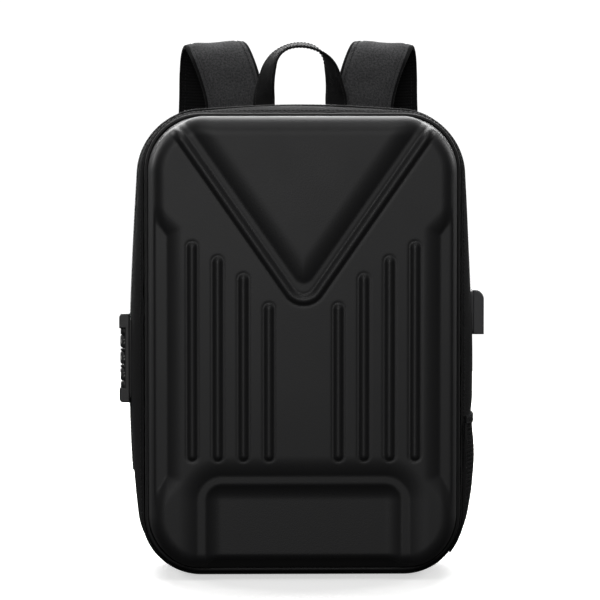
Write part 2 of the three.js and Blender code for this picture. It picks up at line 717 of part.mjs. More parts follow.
// The charging port's hood, rounded above and open below
const PORT_Y = depthY(PORT_PLACE);
const PORT_FACE_X = farSide(1, PORT_Y, PORT_WIDE / 2, PORT_HEIGHT, PORT_HEIGHT + PORT_TALL);
const MOUTH_X = PORT_FACE_X + (PORT_RISE - PORT_MOUTH_THICK) / 2;
function portHood() {
  const bevel = 1.2;
  const profile = new THREE.Shape();
  profile.moveTo(0, 0);
  profile.lineTo(PORT_RISE, 0);
  profile.lineTo(PORT_RISE, PORT_TALL - PORT_ROUND);
  profile.absarc(PORT_RISE - PORT_ROUND, PORT_TALL - PORT_ROUND, PORT_ROUND, 0, Math.PI / 2, false);
  profile.lineTo(0, PORT_TALL);
  profile.closePath();
  const hood = new THREE.ExtrudeGeometry(profile, {
    depth: PORT_WIDE - 2 * bevel,
    curveSegments: 5,
    bevelEnabled: true,
    bevelThickness: bevel,
    bevelSize: bevel,
    bevelOffset: -bevel,
    bevelSegments: 1,
  });
  const place = new THREE.Matrix4().makeBasis(vec(1, 0, 0), vec(0, 0, 1), vec(0, -1, 0));
  hood.applyMatrix4(place).translate(PORT_FACE_X, PORT_Y + PORT_WIDE / 2 - bevel, PORT_HEIGHT);
  const mouth = boxSolid(
    vec(MOUTH_X, PORT_Y - PORT_MOUTH_WIDE / 2, PORT_HEIGHT - 1),
    vec(MOUTH_X + PORT_MOUTH_THICK, PORT_Y + PORT_MOUTH_WIDE / 2, PORT_HEIGHT + PORT_MOUTH_DEEP),
  );
  return geometryOf(solidOf(hood).subtract(mouth));
}

// The socket at the top of the mouth: a thin metal box round a tongue
function socket() {
  const top = PORT_HEIGHT + PORT_MOUTH_DEEP - GAP;
  const low = vec(MOUTH_X + GAP, PORT_Y - PORT_MOUTH_WIDE / 2 + GAP, top - SOCKET_DEEP);
  const high = vec(MOUTH_X + PORT_MOUTH_THICK - GAP, PORT_Y + PORT_MOUTH_WIDE / 2 - GAP, top);
  const wall = vec(SOCKET_WALL, SOCKET_WALL, 0);
  const hollow = boxSolid(low.clone().add(wall).setZ(low.z - 1), high.clone().sub(wall).setZ(top - SOCKET_WALL));
  const tongueX = (low.x + high.x) / 2;
  const tongue = boxSolid(
    vec(tongueX - TONGUE_THICK / 2, low.y + 1.5, low.z + 1),
    vec(tongueX + TONGUE_THICK / 2, high.y - 1.5, top - SOCKET_WALL / 2),
  );
  return geometryOf(boxSolid(low, high).subtract(hollow).add(tongue));
}

// A panel that stands off the right side wall, between two heights: how far at a place and height
// Its columns stand on the gusset's own rows and halfway between them, so it keeps clear of the wall
const POCKET_ROWS = GUSSET_ROWS.map((row) => row.depth).filter((d) => d >= POCKET_FRONT && d <= POCKET_REAR);
const POCKET_DEPTHS = POCKET_ROWS.flatMap((d, i) => (i ? [mix(POCKET_ROWS[i - 1], d, 0.5), d] : [d]));
const POCKET_ACROSS = POCKET_DEPTHS.map((d) => (d - POCKET_FRONT) / (POCKET_REAR - POCKET_FRONT));
const pocketHollow = (across, z) => {
  const up = Math.min(1, (z - POCKET_FOOT) / (0.6 * (POCKET_TOP - POCKET_FOOT)));
  const narrowing = THREE.MathUtils.smoothstep(z, 0.75 * POCKET_TOP, POCKET_TOP);
  const deep = mix(POCKET_HOLLOW, POCKET_MOUTH, narrowing);
  return deep * Math.sin(Math.PI * across) ** 0.5 * Math.sin((up * Math.PI) / 2) ** 0.6;
};
function pocketSheet(heights, wall) {
  const at = (across, z, out) => {
    const depth = mix(POCKET_FRONT, POCKET_REAR, across);
    return vec(sideAt(1, depth, z) + GAP + pocketHollow(across, z) + out, depthY(depth), z);
  };
  const sections = heights.map((z) => [
    ...POCKET_ACROSS.map((across) => at(across, z, 0)),
    ...[...POCKET_ACROSS].reverse().map((across) => at(across, z, wall)),
  ]);
  // Each section bends round the side, so its ends close as a strip of quads and not on one middle point
  const count = POCKET_ACROSS.length;
  const points = sections.flat();
  const faces = [];
  const ringSize = 2 * count;
  for (let r = 0; r < sections.length - 1; r++) {
    for (let i = 0; i < ringSize; i++) {
      const j = (i + 1) % ringSize;
      const here = r * ringSize;
      const next = here + ringSize;
      faces.push([here + i, here + j, next + j], [here + i, next + j, next + i]);
    }
  }
  const last = (sections.length - 1) * ringSize;
  for (let i = 0; i < count - 1; i++) {
    const a = i;
    const b = i + 1;
    const c = ringSize - 2 - i;
    const d = ringSize - 1 - i;
    faces.push([a, c, b], [a, d, c], [last + a, last + b, last + c], [last + a, last + c, last + d]);
  }
  return facingOut(points, faces);
}
function sideLevels(low, high) {
  const between = gussetRing(0.5, 0)
    .filter((p) => p.x > 0 && p.z > low + 2 && p.z < high - 2)
    .map((p) => p.z);
  return [low, ...between, high];
}
const pocket = () => pocketSheet(sideLevels(POCKET_FOOT, POCKET_TOP), POCKET_WALL);
const pocketHem = () => pocketSheet(sideLevels(POCKET_TOP + GAP, POCKET_TOP + HEM_TALL), HEM_WALL);

// A flat or padded band through stations, each with a point, the way its width runs, a width and a thickness.
// section lists places in it, as shares of the width and the thickness.
const FLAT = [
  [-0.5, -0.5],
  [0.5, -0.5],
  [0.5, 0.5],
  [-0.5, 0.5],
];
const PADDED = [
  [-0.5, -0.22],
  [-0.43, -0.5],
  [0.43, -0.5],
  [0.5, -0.22],
  [0.5, 0.22],
  [0.43, 0.5],
  [-0.43, 0.5],
  [-0.5, 0.22],
];
function band(stations, section) {
  return sweep(
    stations.map(({ at, across, wide, thick }, i) => {
      const before = stations[Math.max(0, i - 1)].at;
      const after = stations[Math.min(stations.length - 1, i + 1)].at;
      const along = after.clone().sub(before).normalize();
      const width = across.clone().addScaledVector(along, -across.dot(along)).normalize();
      const normal = vec(0, 0, 0).crossVectors(along, width);
      return section.map(([u, v]) => at.clone().addScaledVector(width, u * wide).addScaledVector(normal, v * thick));
    }),
  );
}

// Half of the handle, from its sewn end to its top: out and up are shares of its half width and rise,
// and turn is the share of the quarter turn that lays the webbing flat under the fingers
const HANDLE_ROWS = [
  { out: 1, up: 0, turn: 0 },
  { out: 1, up: 0.12, turn: 0.06 },
  { out: 0.975, up: 0.3, turn: 0.34 },
  { out: 0.925, up: 0.48, turn: 0.5 },
  { out: 0.845, up: 0.66, turn: 0.63 },
  { out: 0.73, up: 0.8, turn: 0.8 },
  { out: 0.56, up: 0.9, turn: 0.93 },
  { out: 0.36, up: 0.965, turn: 0.99 },
  { out: 0.17, up: 0.993, turn: 1 },
];
const HANDLE_Y = REAR_Y - HANDLE_THICK;
const HANDLE_FOOT = (() => {
  // The highest that the gusset or the back panel stands under the handle's sewn ends
  const share = (HANDLE_Y - EDGE_Y - HANDLE_THICK / 2) / GUSSET_DEPTH;
  const form = gussetForm(share, 0);
  return form.top + form.crown + GAP;
})();
function handle() {
  const rows = HANDLE_ROWS.map(({ out, up, turn }) => ({ x: out * HANDLE_HALF, z: HANDLE_FOOT + up * HANDLE_RISE, turn }));
  const top = { x: 0, z: HANDLE_FOOT + HANDLE_RISE, turn: 1 };
  const path = [
    ...rows.map((row) => ({ ...row, x: -row.x, side: -1 })),
    { ...top, side: -1 },
    ...[...rows].reverse().map((row) => ({ ...row, side: 1 })),
  ];
  const stations = path.map(({ x, z, turn, side }, i) => {
    const before = path[Math.max(0, i - 1)];
    const after = path[Math.min(path.length - 1, i + 1)];
    const along = vec(after.x - before.x, 0, after.z - before.z).normalize();
    const inward = vec(along.z, 0, -along.x);
    const angle = turn * (Math.PI / 2 + HANDLE_TILT);
    const across = inward.multiplyScalar(Math.cos(angle)).add(vec(0, Math.sin(angle), 0));
    return { at: vec(x, HANDLE_Y, z), across, wide: HANDLE_WIDE, thick: HANDLE_THICK, side };
  });
  return band(stations, FLAT);
}

// A strap's middle line from its sewn end, over the shoulder and down: out is a share of the strap's spread, back of
// its reach behind the panel, up of the body's height, wide and thick of the pad, and tilt tips its width sideways
const PAD_ROWS = [
  { out: 0.52, back: 0.05, up: 0.872, wide: 0.9, thick: 0.35, tilt: 0 },
  { out: 0.525, back: 0.08, up: 0.918, wide: 0.95, thick: 0.7, tilt: 0 },
  { out: 0.54, back: 0.11, up: 0.975, wide: 1, thick: 1, tilt: 0 },
  { out: 0.57, back: 0.15, up: 1.033, wide: 1, thick: 1, tilt: 0.04 },
  { out: 0.63, back: 0.24, up: 1.09, wide: 1, thick: 1, tilt: 0.08 },
  { out: 0.69, back: 0.39, up: 1.125, wide: 1, thick: 1, tilt: 0.08 },
  { out: 0.735, back: 0.58, up: 1.137, wide: 1, thick: 1, tilt: 0.06 },
  { out: 0.765, back: 0.78, up: 1.12, wide: 1, thick: 1, tilt: 0.03 },
  { out: 0.78, back: 0.93, up: 1.08, wide: 1, thick: 1, tilt: 0 },
  { out: 0.785, back: 1, up: 1.02, wide: 1, thick: 1, tilt: 0 },
  { out: 0.795, back: 0.99, up: 0.95, wide: 1, thick: 1, tilt: 0 },
  { out: 0.82, back: 0.92, up: 0.86, wide: 1, thick: 1, tilt: 0 },
  { out: 0.855, back: 0.8, up: 0.75, wide: 0.97, thick: 1, tilt: 0 },
  { out: 0.895, back: 0.67, up: 0.64, wide: 0.92, thick: 1, tilt: 0 },
  { out: 0.935, back: 0.55, up: 0.53, wide: 0.85, thick: 0.95, tilt: 0 },
  { out: 0.97, back: 0.46, up: 0.43, wide: 0.76, thick: 0.9, tilt: 0 },
  { out: 1, back: 0.4, up: 0.36, wide: 0.66, thick: 0.75, tilt: 0 },
];
const padStation = ({ out, back, up, wide, thick, tilt }) => ({
  at: vec(out * STRAP_SPREAD, PANEL_REAR_Y + back * STRAP_REACH, up * BODY_HEIGHT),
  across: vec(1, 0, -tilt),
  wide: wide * PAD_WIDE,
  thick: thick * PAD_THICK,
});
const shoulderPad = () => band(PAD_ROWS.map(padStation), PADDED);

// The frame at a strap's lower end: down runs on along the strap, across runs along its width, out faces away
function strapEnd() {
  const last = padStation(PAD_ROWS[PAD_ROWS.length - 1]);
  const before = padStation(PAD_ROWS[PAD_ROWS.length - 2]);
  const down = last.at.clone().sub(before.at).normalize();
  const across = vec(1, 0, 0).addScaledVector(down, -down.x).normalize();
  const out = vec(0, 0, 0).crossVectors(across, down);
  const middle = last.at.clone().addScaledVector(down, BUCKLE_DROP);
  const at = (along, away) => middle.clone().addScaledVector(down, along).addScaledVector(out, away);
  return { down, across, out, middle, at };
}

// The buckle: a ladder of three bars
function buckle() {
  const { down, across, out, middle } = strapEnd();
  const tall = 3 * BUCKLE_BAR + 2 * BUCKLE_SLOT;
  const shape = new THREE.Shape();
  const [w, h, c] = [BUCKLE_WIDE / 2, tall / 2, 2.5];
  shape.moveTo(-w + c, -h).lineTo(w - c, -h).lineTo(w, -h + c).lineTo(w, h - c);
  shape.lineTo(w - c, h).lineTo(-w + c, h).lineTo(-w, h - c).lineTo(-w, -h + c).closePath();
  const slotHalf = WEB_WIDE / 2 + 1;
  for (const centre of [-(BUCKLE_BAR + BUCKLE_SLOT) / 2, (BUCKLE_BAR + BUCKLE_SLOT) / 2]) {
    const slot = new THREE.Path();
    slot.moveTo(-slotHalf, centre - BUCKLE_SLOT / 2).lineTo(slotHalf, centre - BUCKLE_SLOT / 2);
    slot.lineTo(slotHalf, centre + BUCKLE_SLOT / 2).lineTo(-slotHalf, centre + BUCKLE_SLOT / 2).closePath();
    shape.holes.push(slot);
  }
  const frame = new THREE.ExtrudeGeometry(shape, { depth: BUCKLE_THICK, bevelEnabled: false });
  frame.translate(0, 0, -BUCKLE_THICK / 2);
  // The shape's x runs across, its y up the strap, and the extrusion away from the wearer
  const place = new THREE.Matrix4().makeBasis(across, down.clone().negate(), out.clone().negate());
  return frame.applyMatrix4(place).translate(middle.x, middle.y, middle.z);
}

// Webbing that turns round a bar's edge: centre is the turn's place along the strap, sign is 1 to turn below it
function turnRound(frame, centre, sign, from, to) {
  const radius = BUCKLE_THICK / 2 + GAP + 0.2 + WEB_THICK / 2;
  const points = [];
  const count = 6;
  for (let i = 0; i <= count; i++) {
    const a = mix(from, to, i / count);
    points.push(frame.at(centre + sign * radius * Math.sin(a), -radius * Math.cos(a)));
  }
  return points;
}
const webStations = (points, across) => points.map((at) => ({ at, across, wide: WEB_WIDE, thick: WEB_THICK }));

// The short loop that ties the buckle's top bar to the pad's end
function padTab() {
  const frame = strapEnd();
  const top = -(BUCKLE_BAR + BUCKLE_SLOT);
  const start = -BUCKLE_DROP + GAP;
  const turn = turnRound(frame, top + BUCKLE_BAR / 2 - 1, 1, 0, Math.PI);
  const near = -(BUCKLE_THICK / 2 + GAP + 0.2 + WEB_THICK / 2);
  const down = [frame.at(start, near * 0.55), frame.at(top - BUCKLE_BAR, near)];
  const up = [frame.at(top - BUCKLE_BAR, -near), frame.at(start, -near * 0.55)];
  return band(webStations([...down, ...turn, ...up], frame.across), FLAT);
}

// Where the lower webbing leaves the anchor tab
const anchorY = (z) => {
  const reaches = [-0.5, 0, 0.5].map((share) => panelRearAt(ANCHOR_X + share * ANCHOR_WIDE, z));
  return Math.max(...reaches) + GAP + FABRIC / 2;
};
const anchorHead = () => {
  const z = ANCHOR_FOOT + ANCHOR_TALL * 0.8;
  return vec(ANCHOR_X, anchorY(ANCHOR_FOOT + ANCHOR_TALL) + FABRIC / 2 + GAP + WEB_THICK / 2, z);
};

// The lower webbing: a tail in front, round the middle bar, then down behind to the anchor tab
function lowerWebbing() {
  const frame = strapEnd();
  const near = BUCKLE_THICK / 2 + GAP + 0.2 + WEB_THICK / 2;
  const turn = turnRound(frame, -BUCKLE_BAR / 2 + 1, -1, Math.PI, 0);
  const foot = anchorHead();
  const leave = frame.at(WEB_LEAVE, -near);
  const slotEnd = BUCKLE_BAR / 2 + BUCKLE_SLOT + 2;
  const tail = [frame.at(WEB_TAIL, near + 1), frame.at(WEB_TAIL / 2, near + 0.5), frame.at(slotEnd, near)];
  const beyond = frame.at((slotEnd + WEB_LEAVE) / 2, -near);
  const upper = webStations([...tail, ...turn, frame.at(slotEnd, -near), beyond], frame.across);
  const run = [0, 0.3, 0.6, 0.85].map((share) => leave.clone().lerp(foot, share));
  const lower = webStations([...run, foot.clone().add(vec(0, 0.2, WEB_SEWN)), foot], vec(1, 0, 0));
  return band([...upper, ...lower], FLAT);
}

// The anchor tab: a tapered piece of fabric on the back panel's rear face, near its bottom corner
const ANCHOR_ROWS = [
  { up: 0, wide: 1 },
  { up: 0.35, wide: 0.88 },
  { up: 0.7, wide: 0.76 },
  { up: 1, wide: 0.66 },
];
function anchor() {
  const stations = ANCHOR_ROWS.map(({ up, wide }) => {
    const z = ANCHOR_FOOT + up * ANCHOR_TALL;
    return { at: vec(ANCHOR_X, anchorY(z), z), across: vec(1, 0, 0), wide: wide * ANCHOR_WIDE, thick: FABRIC };
  });
  return band(stations, FLAT);
}

const FINISH = {
  shell: { color: 0x2a2a2b, roughness: 0.42, metalness: 0 },
  fabric: { color: 0x151515, roughness: 0.9, metalness: 0 },
  mesh: { color: 0x101010, roughness: 0.95, metalness: 0 },
  webbing: { color: 0x1b1b1c, roughness: 0.8, metalness: 0 },
  plastic: { color: 0x222224, roughness: 0.45, metalness: 0 },
  metal: { color: 0x8c8c90, roughness: 0.35, metalness: 1 },
};

// The same closed solid on the other side of the middle plane
function mirror(geometry) {
  const copy = geometry.index ? geometry.toNonIndexed() : geometry.clone();
  const position = copy.attributes.position.clone();
  for (let i = 0; i < position.count; i++) {
    const from = i - (i % 3) + 2 - (i % 3);
    const p = vec(0, 0, 0).fromBufferAttribute(copy.attributes.position, from);
    position.setXYZ(i, -p.x, p.y, p.z);
  }
  return new THREE.BufferGeometry().setAttribute("position", position);
}

const backpack = new THREE.Group();
function add(name, geometry, finish) {
  const mesh = new THREE.Mesh(geometry, new THREE.MeshStandardMaterial(FINISH[finish]));
  mesh.name = name;
  backpack.add(mesh);
}

add("front_shell", frontShell(), "shell");
add("shell_piping", piping(), "fabric");
add("gusset", gusset(), "fabric");
add("back_panel", backPanel(), "mesh");
add("main_zip", zip(), "fabric");
add("zip_slider_upper", slider(LOCK_HEIGHT + SLIDER_LENGTH / 2 + 1), "metal");
add("zip_slider_lower", slider(LOCK_HEIGHT - SLIDER_LENGTH / 2 - 1), "metal");
add("carry_handle", handle(), "webbing");
add("lock_housing", lockHousing(), "plastic");
add("lock_axle", lockAxle(), "metal");
for (let i = 0; i < DIAL_COUNT; i++) {
  add(`lock_dial_${i + 1}`, dial(dialFoot(i)), "plastic");
}
add("port_hood", portHood(), "plastic");
add("port_socket", socket(), "metal");
add("side_pocket", pocket(), "mesh");
add("pocket_hem", pocketHem(), "webbing");
// The strap on the right, and the same one mirrored on the left
const STRAP = [
  { name: "shoulder_pad", make: shoulderPad, finish: "fabric" },
  { name: "pad_tab", make: padTab, finish: "webbing" },
  { name: "strap_buckle", make: buckle, finish: "plastic" },
  { name: "lower_webbing", make: lowerWebbing, finish: "webbing" },
  { name: "strap_anchor", make: anchor, finish: "fabric" },
];
for (const { name, make, finish } of STRAP) {
  const right = make();
  add(`${name}_right`, right, finish);
  add(`${name}_left`, mirror(right), finish);
}

export default backpack;
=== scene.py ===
"""Hard shell backpack: the visual model on its solid frame. Metres, +Z up, the shell faces -Y."""
import math
import bpy
import numpy as np
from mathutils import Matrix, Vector


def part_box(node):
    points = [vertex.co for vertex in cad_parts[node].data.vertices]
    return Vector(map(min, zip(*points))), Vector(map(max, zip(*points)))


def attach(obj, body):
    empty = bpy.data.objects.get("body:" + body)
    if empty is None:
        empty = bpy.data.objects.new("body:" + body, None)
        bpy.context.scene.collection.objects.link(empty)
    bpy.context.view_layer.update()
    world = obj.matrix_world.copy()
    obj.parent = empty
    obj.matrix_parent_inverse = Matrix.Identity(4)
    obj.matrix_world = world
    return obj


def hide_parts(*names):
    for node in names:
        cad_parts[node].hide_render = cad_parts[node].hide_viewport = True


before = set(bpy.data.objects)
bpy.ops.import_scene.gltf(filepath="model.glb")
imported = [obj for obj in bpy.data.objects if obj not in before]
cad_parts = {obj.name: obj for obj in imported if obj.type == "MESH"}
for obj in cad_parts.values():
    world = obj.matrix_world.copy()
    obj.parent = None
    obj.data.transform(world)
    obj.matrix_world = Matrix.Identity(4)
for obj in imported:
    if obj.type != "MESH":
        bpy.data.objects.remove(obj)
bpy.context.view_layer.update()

MM = 0.001
PI = math.pi


# Sizes of the body, the same as the frame's, in millimetres

GAP = 0.3
BODY_HEIGHT = 450.0
GUSSET_DEPTH = 106.0
EDGE_Y = -51.94
REAR_Y = EDGE_Y + GUSSET_DEPTH
SHELL_DEPTH = 44.0
FACE_Y = EDGE_Y - SHELL_DEPTH
PANEL_FRONT_Y = REAR_Y + GAP
PANEL_DEPTH = 12.0
PANEL_REAR_Y = PANEL_FRONT_Y + PANEL_DEPTH
EDGE_HALF = 150.0
EDGE_TOP = 443.0
EDGE_LIFT = 6.0
EDGE_RADIUS_TOP = 54.0
EDGE_RADIUS_FOOT = 53.0
SIDE_SET, TOP_SET, SIDE_BELLY, TOP_CROWN, POCKET_DENT = 4.5, 2.5, 11.5, 4.5, 5.0
PIPING_SET = 2.6
POCKET_TOP, POCKET_FOOT = 145.0, 23.0


# Plain maths on arrays

def ease(x, low, high):
    """0 below low, 1 above high, and 3t^2 - 2t^3 between them."""
    t = np.clip((x - low) / (high - low), 0.0, 1.0)
    return t * t * (3.0 - 2.0 * t)


def soft_max(a, b, k):
    """The larger of a and b, rounded over a distance k where they meet."""
    h = np.clip(0.5 + 0.5 * (a - b) / k, 0.0, 1.0)
    return b + (a - b) * h + k * h * (1.0 - h)


def soft_min(a, b, k):
    """The smaller of a and b, rounded over a distance k where they meet."""
    return -soft_max(-a, -b, k)


def table(x, rows, column):
    """A smooth curve through a table: cubic pieces whose slopes are the mean of their neighbours' slopes."""
    xs = np.array([row[0] for row in rows], float)
    ys = np.array([row[column] for row in rows], float)
    chord = np.diff(ys) / np.diff(xs)
    slope = np.concatenate([[chord[0]], (chord[1:] + chord[:-1]) / 2, [chord[-1]]])
    x = np.clip(np.asarray(x, float), xs[0], xs[-1])
    i = np.clip(np.searchsorted(xs, x) - 1, 0, len(xs) - 2)
    width = xs[i + 1] - xs[i]
    t = (x - xs[i]) / width
    return ((2 * t**3 - 3 * t**2 + 1) * ys[i] + (t**3 - 2 * t**2 + t) * width * slope[i]
            + (3 * t**2 - 2 * t**3) * ys[i + 1] + (t**3 - t**2) * width * slope[i + 1])


def ripple(x, y, seed, scale):
    """A smooth wandering surface between about -1 and 1: the mean of eight sine waves in seeded directions."""
    rng = np.random.default_rng(seed)
    total = 0.0
    for _ in range(8):
        angle, phase, size = rng.uniform(0, 2 * PI), rng.uniform(0, 2 * PI), rng.uniform(0.6, 1.7)
        total = total + np.sin((x * math.cos(angle) + y * math.sin(angle)) * 2 * PI / (scale * size) + phase)
    return total / 4.0


def unit(v):
    """Each vector divided by its length."""
    return v / np.maximum(np.linalg.norm(v, axis=-1, keepdims=True), 1e-12)


# Meshes from arrays

def quads_of(rows, cols, close_rows, close_cols):
    """Corner numbers of the cells of a grid, whose last row or column may join the first."""
    r = np.arange(rows if close_rows else rows - 1)[:, None]
    c = np.arange(cols if close_cols else cols - 1)[None, :]
    r2, c2 = (r + 1) % rows, (c + 1) % cols
    return np.stack([r * cols + c, r * cols + c2, r2 * cols + c2, r2 * cols + c], axis=-1).reshape(-1, 4)


def volume_of(points, faces):
    """Six times the volume that the faces close, positive when they point outwards."""
    total = 0.0
    for face in faces:
        a = points[face[:, 0]]
        for k in range(1, face.shape[1] - 1):
            total += np.einsum("ij,ij->i", a, np.cross(points[face[:, k]], points[face[:, k + 1]])).sum()
    return total


def piece(name, points, faces, looks, body="bag", pick=None, uv=None, smooth=True):
    """A mesh object from points in millimetres and arrays of faces, turned outwards, riding on a body."""
    points = np.asarray(points, float).reshape(-1, 3) * MM
    if volume_of(points, faces) < 0:
        faces = [face[:, ::-1] for face in faces]
    mesh = bpy.data.meshes.new(name)
    corners = np.concatenate([face.reshape(-1) for face in faces])
    totals = np.concatenate([np.full(len(face), face.shape[1]) for face in faces])
    mesh.vertices.add(len(points))
    mesh.vertices.foreach_set("co", points.reshape(-1))
    mesh.loops.add(len(corners))
    mesh.loops.foreach_set("vertex_index", corners.astype(np.int32))
    mesh.polygons.add(len(totals))
    mesh.polygons.foreach_set("loop_start", np.concatenate([[0], np.cumsum(totals)[:-1]]).astype(np.int32))
    mesh.update(calc_edges=True)
    mesh.validate()
    if uv is not None:
        layer = mesh.uv_layers.new(name="cloth")
        layer.data.foreach_set("uv", (np.asarray(uv, float).reshape(-1, 2) * MM)[corners].reshape(-1))
    for look in looks:
        mesh.materials.append(look)
    if pick is not None:
        mesh.polygons.foreach_set("material_index", np.asarray(pick, np.int32))
    mesh.polygons.foreach_set("use_smooth", np.full(len(totals), smooth))
    thing = bpy.data.objects.new(name, mesh)
    bpy.context.scene.collection.objects.link(thing)
    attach(thing, body)
    return thing


def joined(parts):
    """Points and faces of several closed shapes as one: corner numbers are shifted past the points before them."""
    points, faces, start = [], {}, 0
    for some, groups in parts:
        some = np.asarray(some, float).reshape(-1, 3)
        for face in groups:
            faces.setdefault(face.shape[1], []).append(face + start)
        points.append(some)
        start += len(some)
    return np.concatenate(points), [np.concatenate(group) for group in faces.values()]


def fans(rows, cols):
    """Triangles that close the first and last rings of a tube, round two points that follow the grid's own."""
    i = np.arange(cols)
    j = (i + 1) % cols
    first, last = rows * cols, rows * cols + 1
    low = np.stack([np.full(cols, first), j, i], axis=-1)
    high = np.stack([np.full(cols, last), (rows - 1) * cols + i, (rows - 1) * cols + j], axis=-1)
    return np.concatenate([low, high])


def tube(rings):
    """A closed tube through rings: its cells, and fans round the middles of its two end rings."""
    rows, cols = rings.shape[:2]
    points = np.concatenate([rings.reshape(-1, 3), rings[:1].mean(axis=1), rings[-1:].mean(axis=1)])
    return points, [quads_of(rows, cols, False, True), fans(rows, cols)]


def run_along(path):
    """The distance along a path from its first point."""
    return np.concatenate([[0], np.cumsum(np.linalg.norm(np.diff(path, axis=0), axis=1))])


def ways(path):
    """The direction that a path runs in at each of its points, from the points before and after."""
    return unit(np.gradient(path, axis=0))


def steady(direction, path):
    """One direction for every point of a path."""
    return np.broadcast_to(np.array(direction, float), path.shape)


def axes_on(path, across):
    """Sideways and outward directions square to a path, sideways as near to across as they can be."""
    along = ways(path)
    sideways = unit(across - along * np.sum(across * along, axis=1, keepdims=True))
    return sideways, np.cross(along, sideways)


def outward(normal, path):
    """Normals on the body, each turned so that it points away from the body's middle."""
    return normal * np.sign(np.sum(normal * (path - [0, 0, BODY_HEIGHT / 2]), axis=1, keepdims=True))


def prism(section, ends, axis, middle):
    """Rings of a section about its middle along an axis: each end is a place on the axis and a scale."""
    return np.stack([np.insert(section * scale + middle, axis, place, axis=1) for place, scale in ends])


def swept(path, across, section):
    """A section of (sideways, outwards) places carried along a path, with its sideways axis along across."""
    across, out = axes_on(path, across)
    if section.ndim == 2:
        section = np.broadcast_to(section, (len(path),) + section.shape)
    return path[:, None] + across[:, None] * section[..., :1] + out[:, None] * section[..., 1:]


def round_box(wide, thick, radius, steps=3, side=1):
    """A rectangle's outline with quarter-round corners, and points along its wide sides."""
    half_w, half_t = wide / 2 - radius, thick / 2 - radius
    points = []
    for turn, (sx, sy) in enumerate([(1, 1), (-1, 1), (-1, -1), (1, -1)]):
        a = np.linspace(turn * PI / 2, (turn + 1) * PI / 2, steps + 1)
        corner = np.stack([sx * half_w + radius * np.cos(a), sy * half_t + radius * np.sin(a)], axis=1)
        points.append(corner)
        if turn in (0, 2) and side > 1:
            run = np.linspace(0, 1, side + 1)[1:-1, None]
            end = np.array([-sx * half_w, corner[-1, 1]])
            points.append(corner[-1] * (1 - run) + end * run)
    return np.concatenate(points)


def smooth_path(rows, count):
    """A smooth path through rows of points, evenly spaced along its length."""
    rows = np.asarray(rows, float)
    at = run_along(rows)
    whole = np.column_stack([at, rows])
    fine = np.linspace(0, at[-1], count * 6)
    curve = np.stack([table(fine, whole, k + 1) for k in range(rows.shape[1])], axis=1)
    run = run_along(curve[:, :3])
    even = np.linspace(0, run[-1], count)
    return np.stack([np.interp(even, run, curve[:, k]) for k in range(curve.shape[1])], axis=1), run[-1]


def frame_box(name):
    """The two corners of a frame node's box, in millimetres."""
    return [np.array(corner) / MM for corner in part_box(name)]


# The body's outline

def belly_at(z):
    """How far the side bellies out: a sine over the height, skewed so that it is fullest a little below the middle."""
    t = np.clip((z / BODY_HEIGHT - 0.09) / 0.88, 0.0, 1.0)
    return np.sin(PI * t**0.7067)


def dent_at(z):
    """The share by which the side yields behind the net pocket: most behind its bag, little under its elastic."""
    bag = ease(z, 0, POCKET_FOOT * 4) * (1 - ease(z, 96, POCKET_TOP - 2))
    return bag + (1 - bag) * 0.26 * ease(z, 60, 110) * (1 - ease(z, POCKET_TOP + 6, POCKET_TOP + 24))


FLAT_STEPS, BEND_STEPS, SIDE_STEPS = 34, 30, 104


def outline(half, top, foot, radius_top, radius_foot, belly=0.0, crown=0.0, dent=0.0):
    """A closed rounded rectangle in X and Z for each row of sizes, round from the middle of its foot by the right.
    Its sides are pushed out by the belly, and its top is lifted by the crown's quarter cosine."""
    sizes = [np.asarray(v, float).reshape(-1, 1) for v in
             np.broadcast_arrays(half, top, foot, radius_top, radius_foot, belly, crown, dent)]
    half, top, foot, radius_top, radius_foot, belly, crown, dent = sizes
    t_flat = np.linspace(0, 1, FLAT_STEPS, endpoint=False)[None]
    t_bend = np.linspace(0, PI / 2, BEND_STEPS, endpoint=False)[None]
    t_side = np.linspace(0, 1, SIDE_STEPS, endpoint=False)[None]
    xs = [(half - radius_foot) * t_flat,
          half - radius_foot + radius_foot * np.sin(t_bend),
          half + 0 * t_side,
          half - radius_top + radius_top * np.cos(t_bend),
          (half - radius_top) * (1 - t_flat)]
    low, high = foot + radius_foot, top - radius_top
    zs = [foot + 0 * t_flat,
          low - radius_foot * np.cos(t_bend),
          low + (high - low) * t_side,
          high + radius_top * np.sin(t_bend),
          top + crown * np.cos((1 - t_flat) * PI / 2)]
    x, z = np.concatenate(xs, axis=1), np.concatenate(zs, axis=1)
    swell = belly * belly_at(z)
    right = np.stack([x + swell - dent * dent_at(z), z], axis=-1)
    left = np.stack([-(x + swell), z], axis=-1)[:, :0:-1]
    crest = np.stack([0 * top, top + crown], axis=-1)
    return np.concatenate([right, crest, left], axis=1)


def ring(flat, y):
    """Points in space for outlines in X and Z, each row at its own depth y."""
    y = np.broadcast_to(np.asarray(y, float).reshape(-1, 1), flat.shape[:2])
    return np.stack([flat[..., 0], y, flat[..., 1]], axis=-1)


def edge_outline(inset):
    """The outline of the shell's seam, taken in by an inset."""
    return outline(EDGE_HALF - inset, EDGE_TOP - inset, EDGE_LIFT + inset,
                   EDGE_RADIUS_TOP - inset, EDGE_RADIUS_FOOT - inset)


GUSSET_ROWS = [  # share of depth, set, belly, crown
    (0.0, 0.3, 0.0, 0.0),
    (0.06, 0.75, 0.22, 0.3),
    (0.18, 1.0, 0.66, 0.7),
    (0.36, 1.0, 0.95, 1.0),
    (0.56, 1.0, 1.0, 1.0),
    (0.8, 1.0, 0.78, 0.85),
    (0.94, 0.94, 0.34, 0.6),
    (1.0, 0.8, 0.1, 0.4),
]


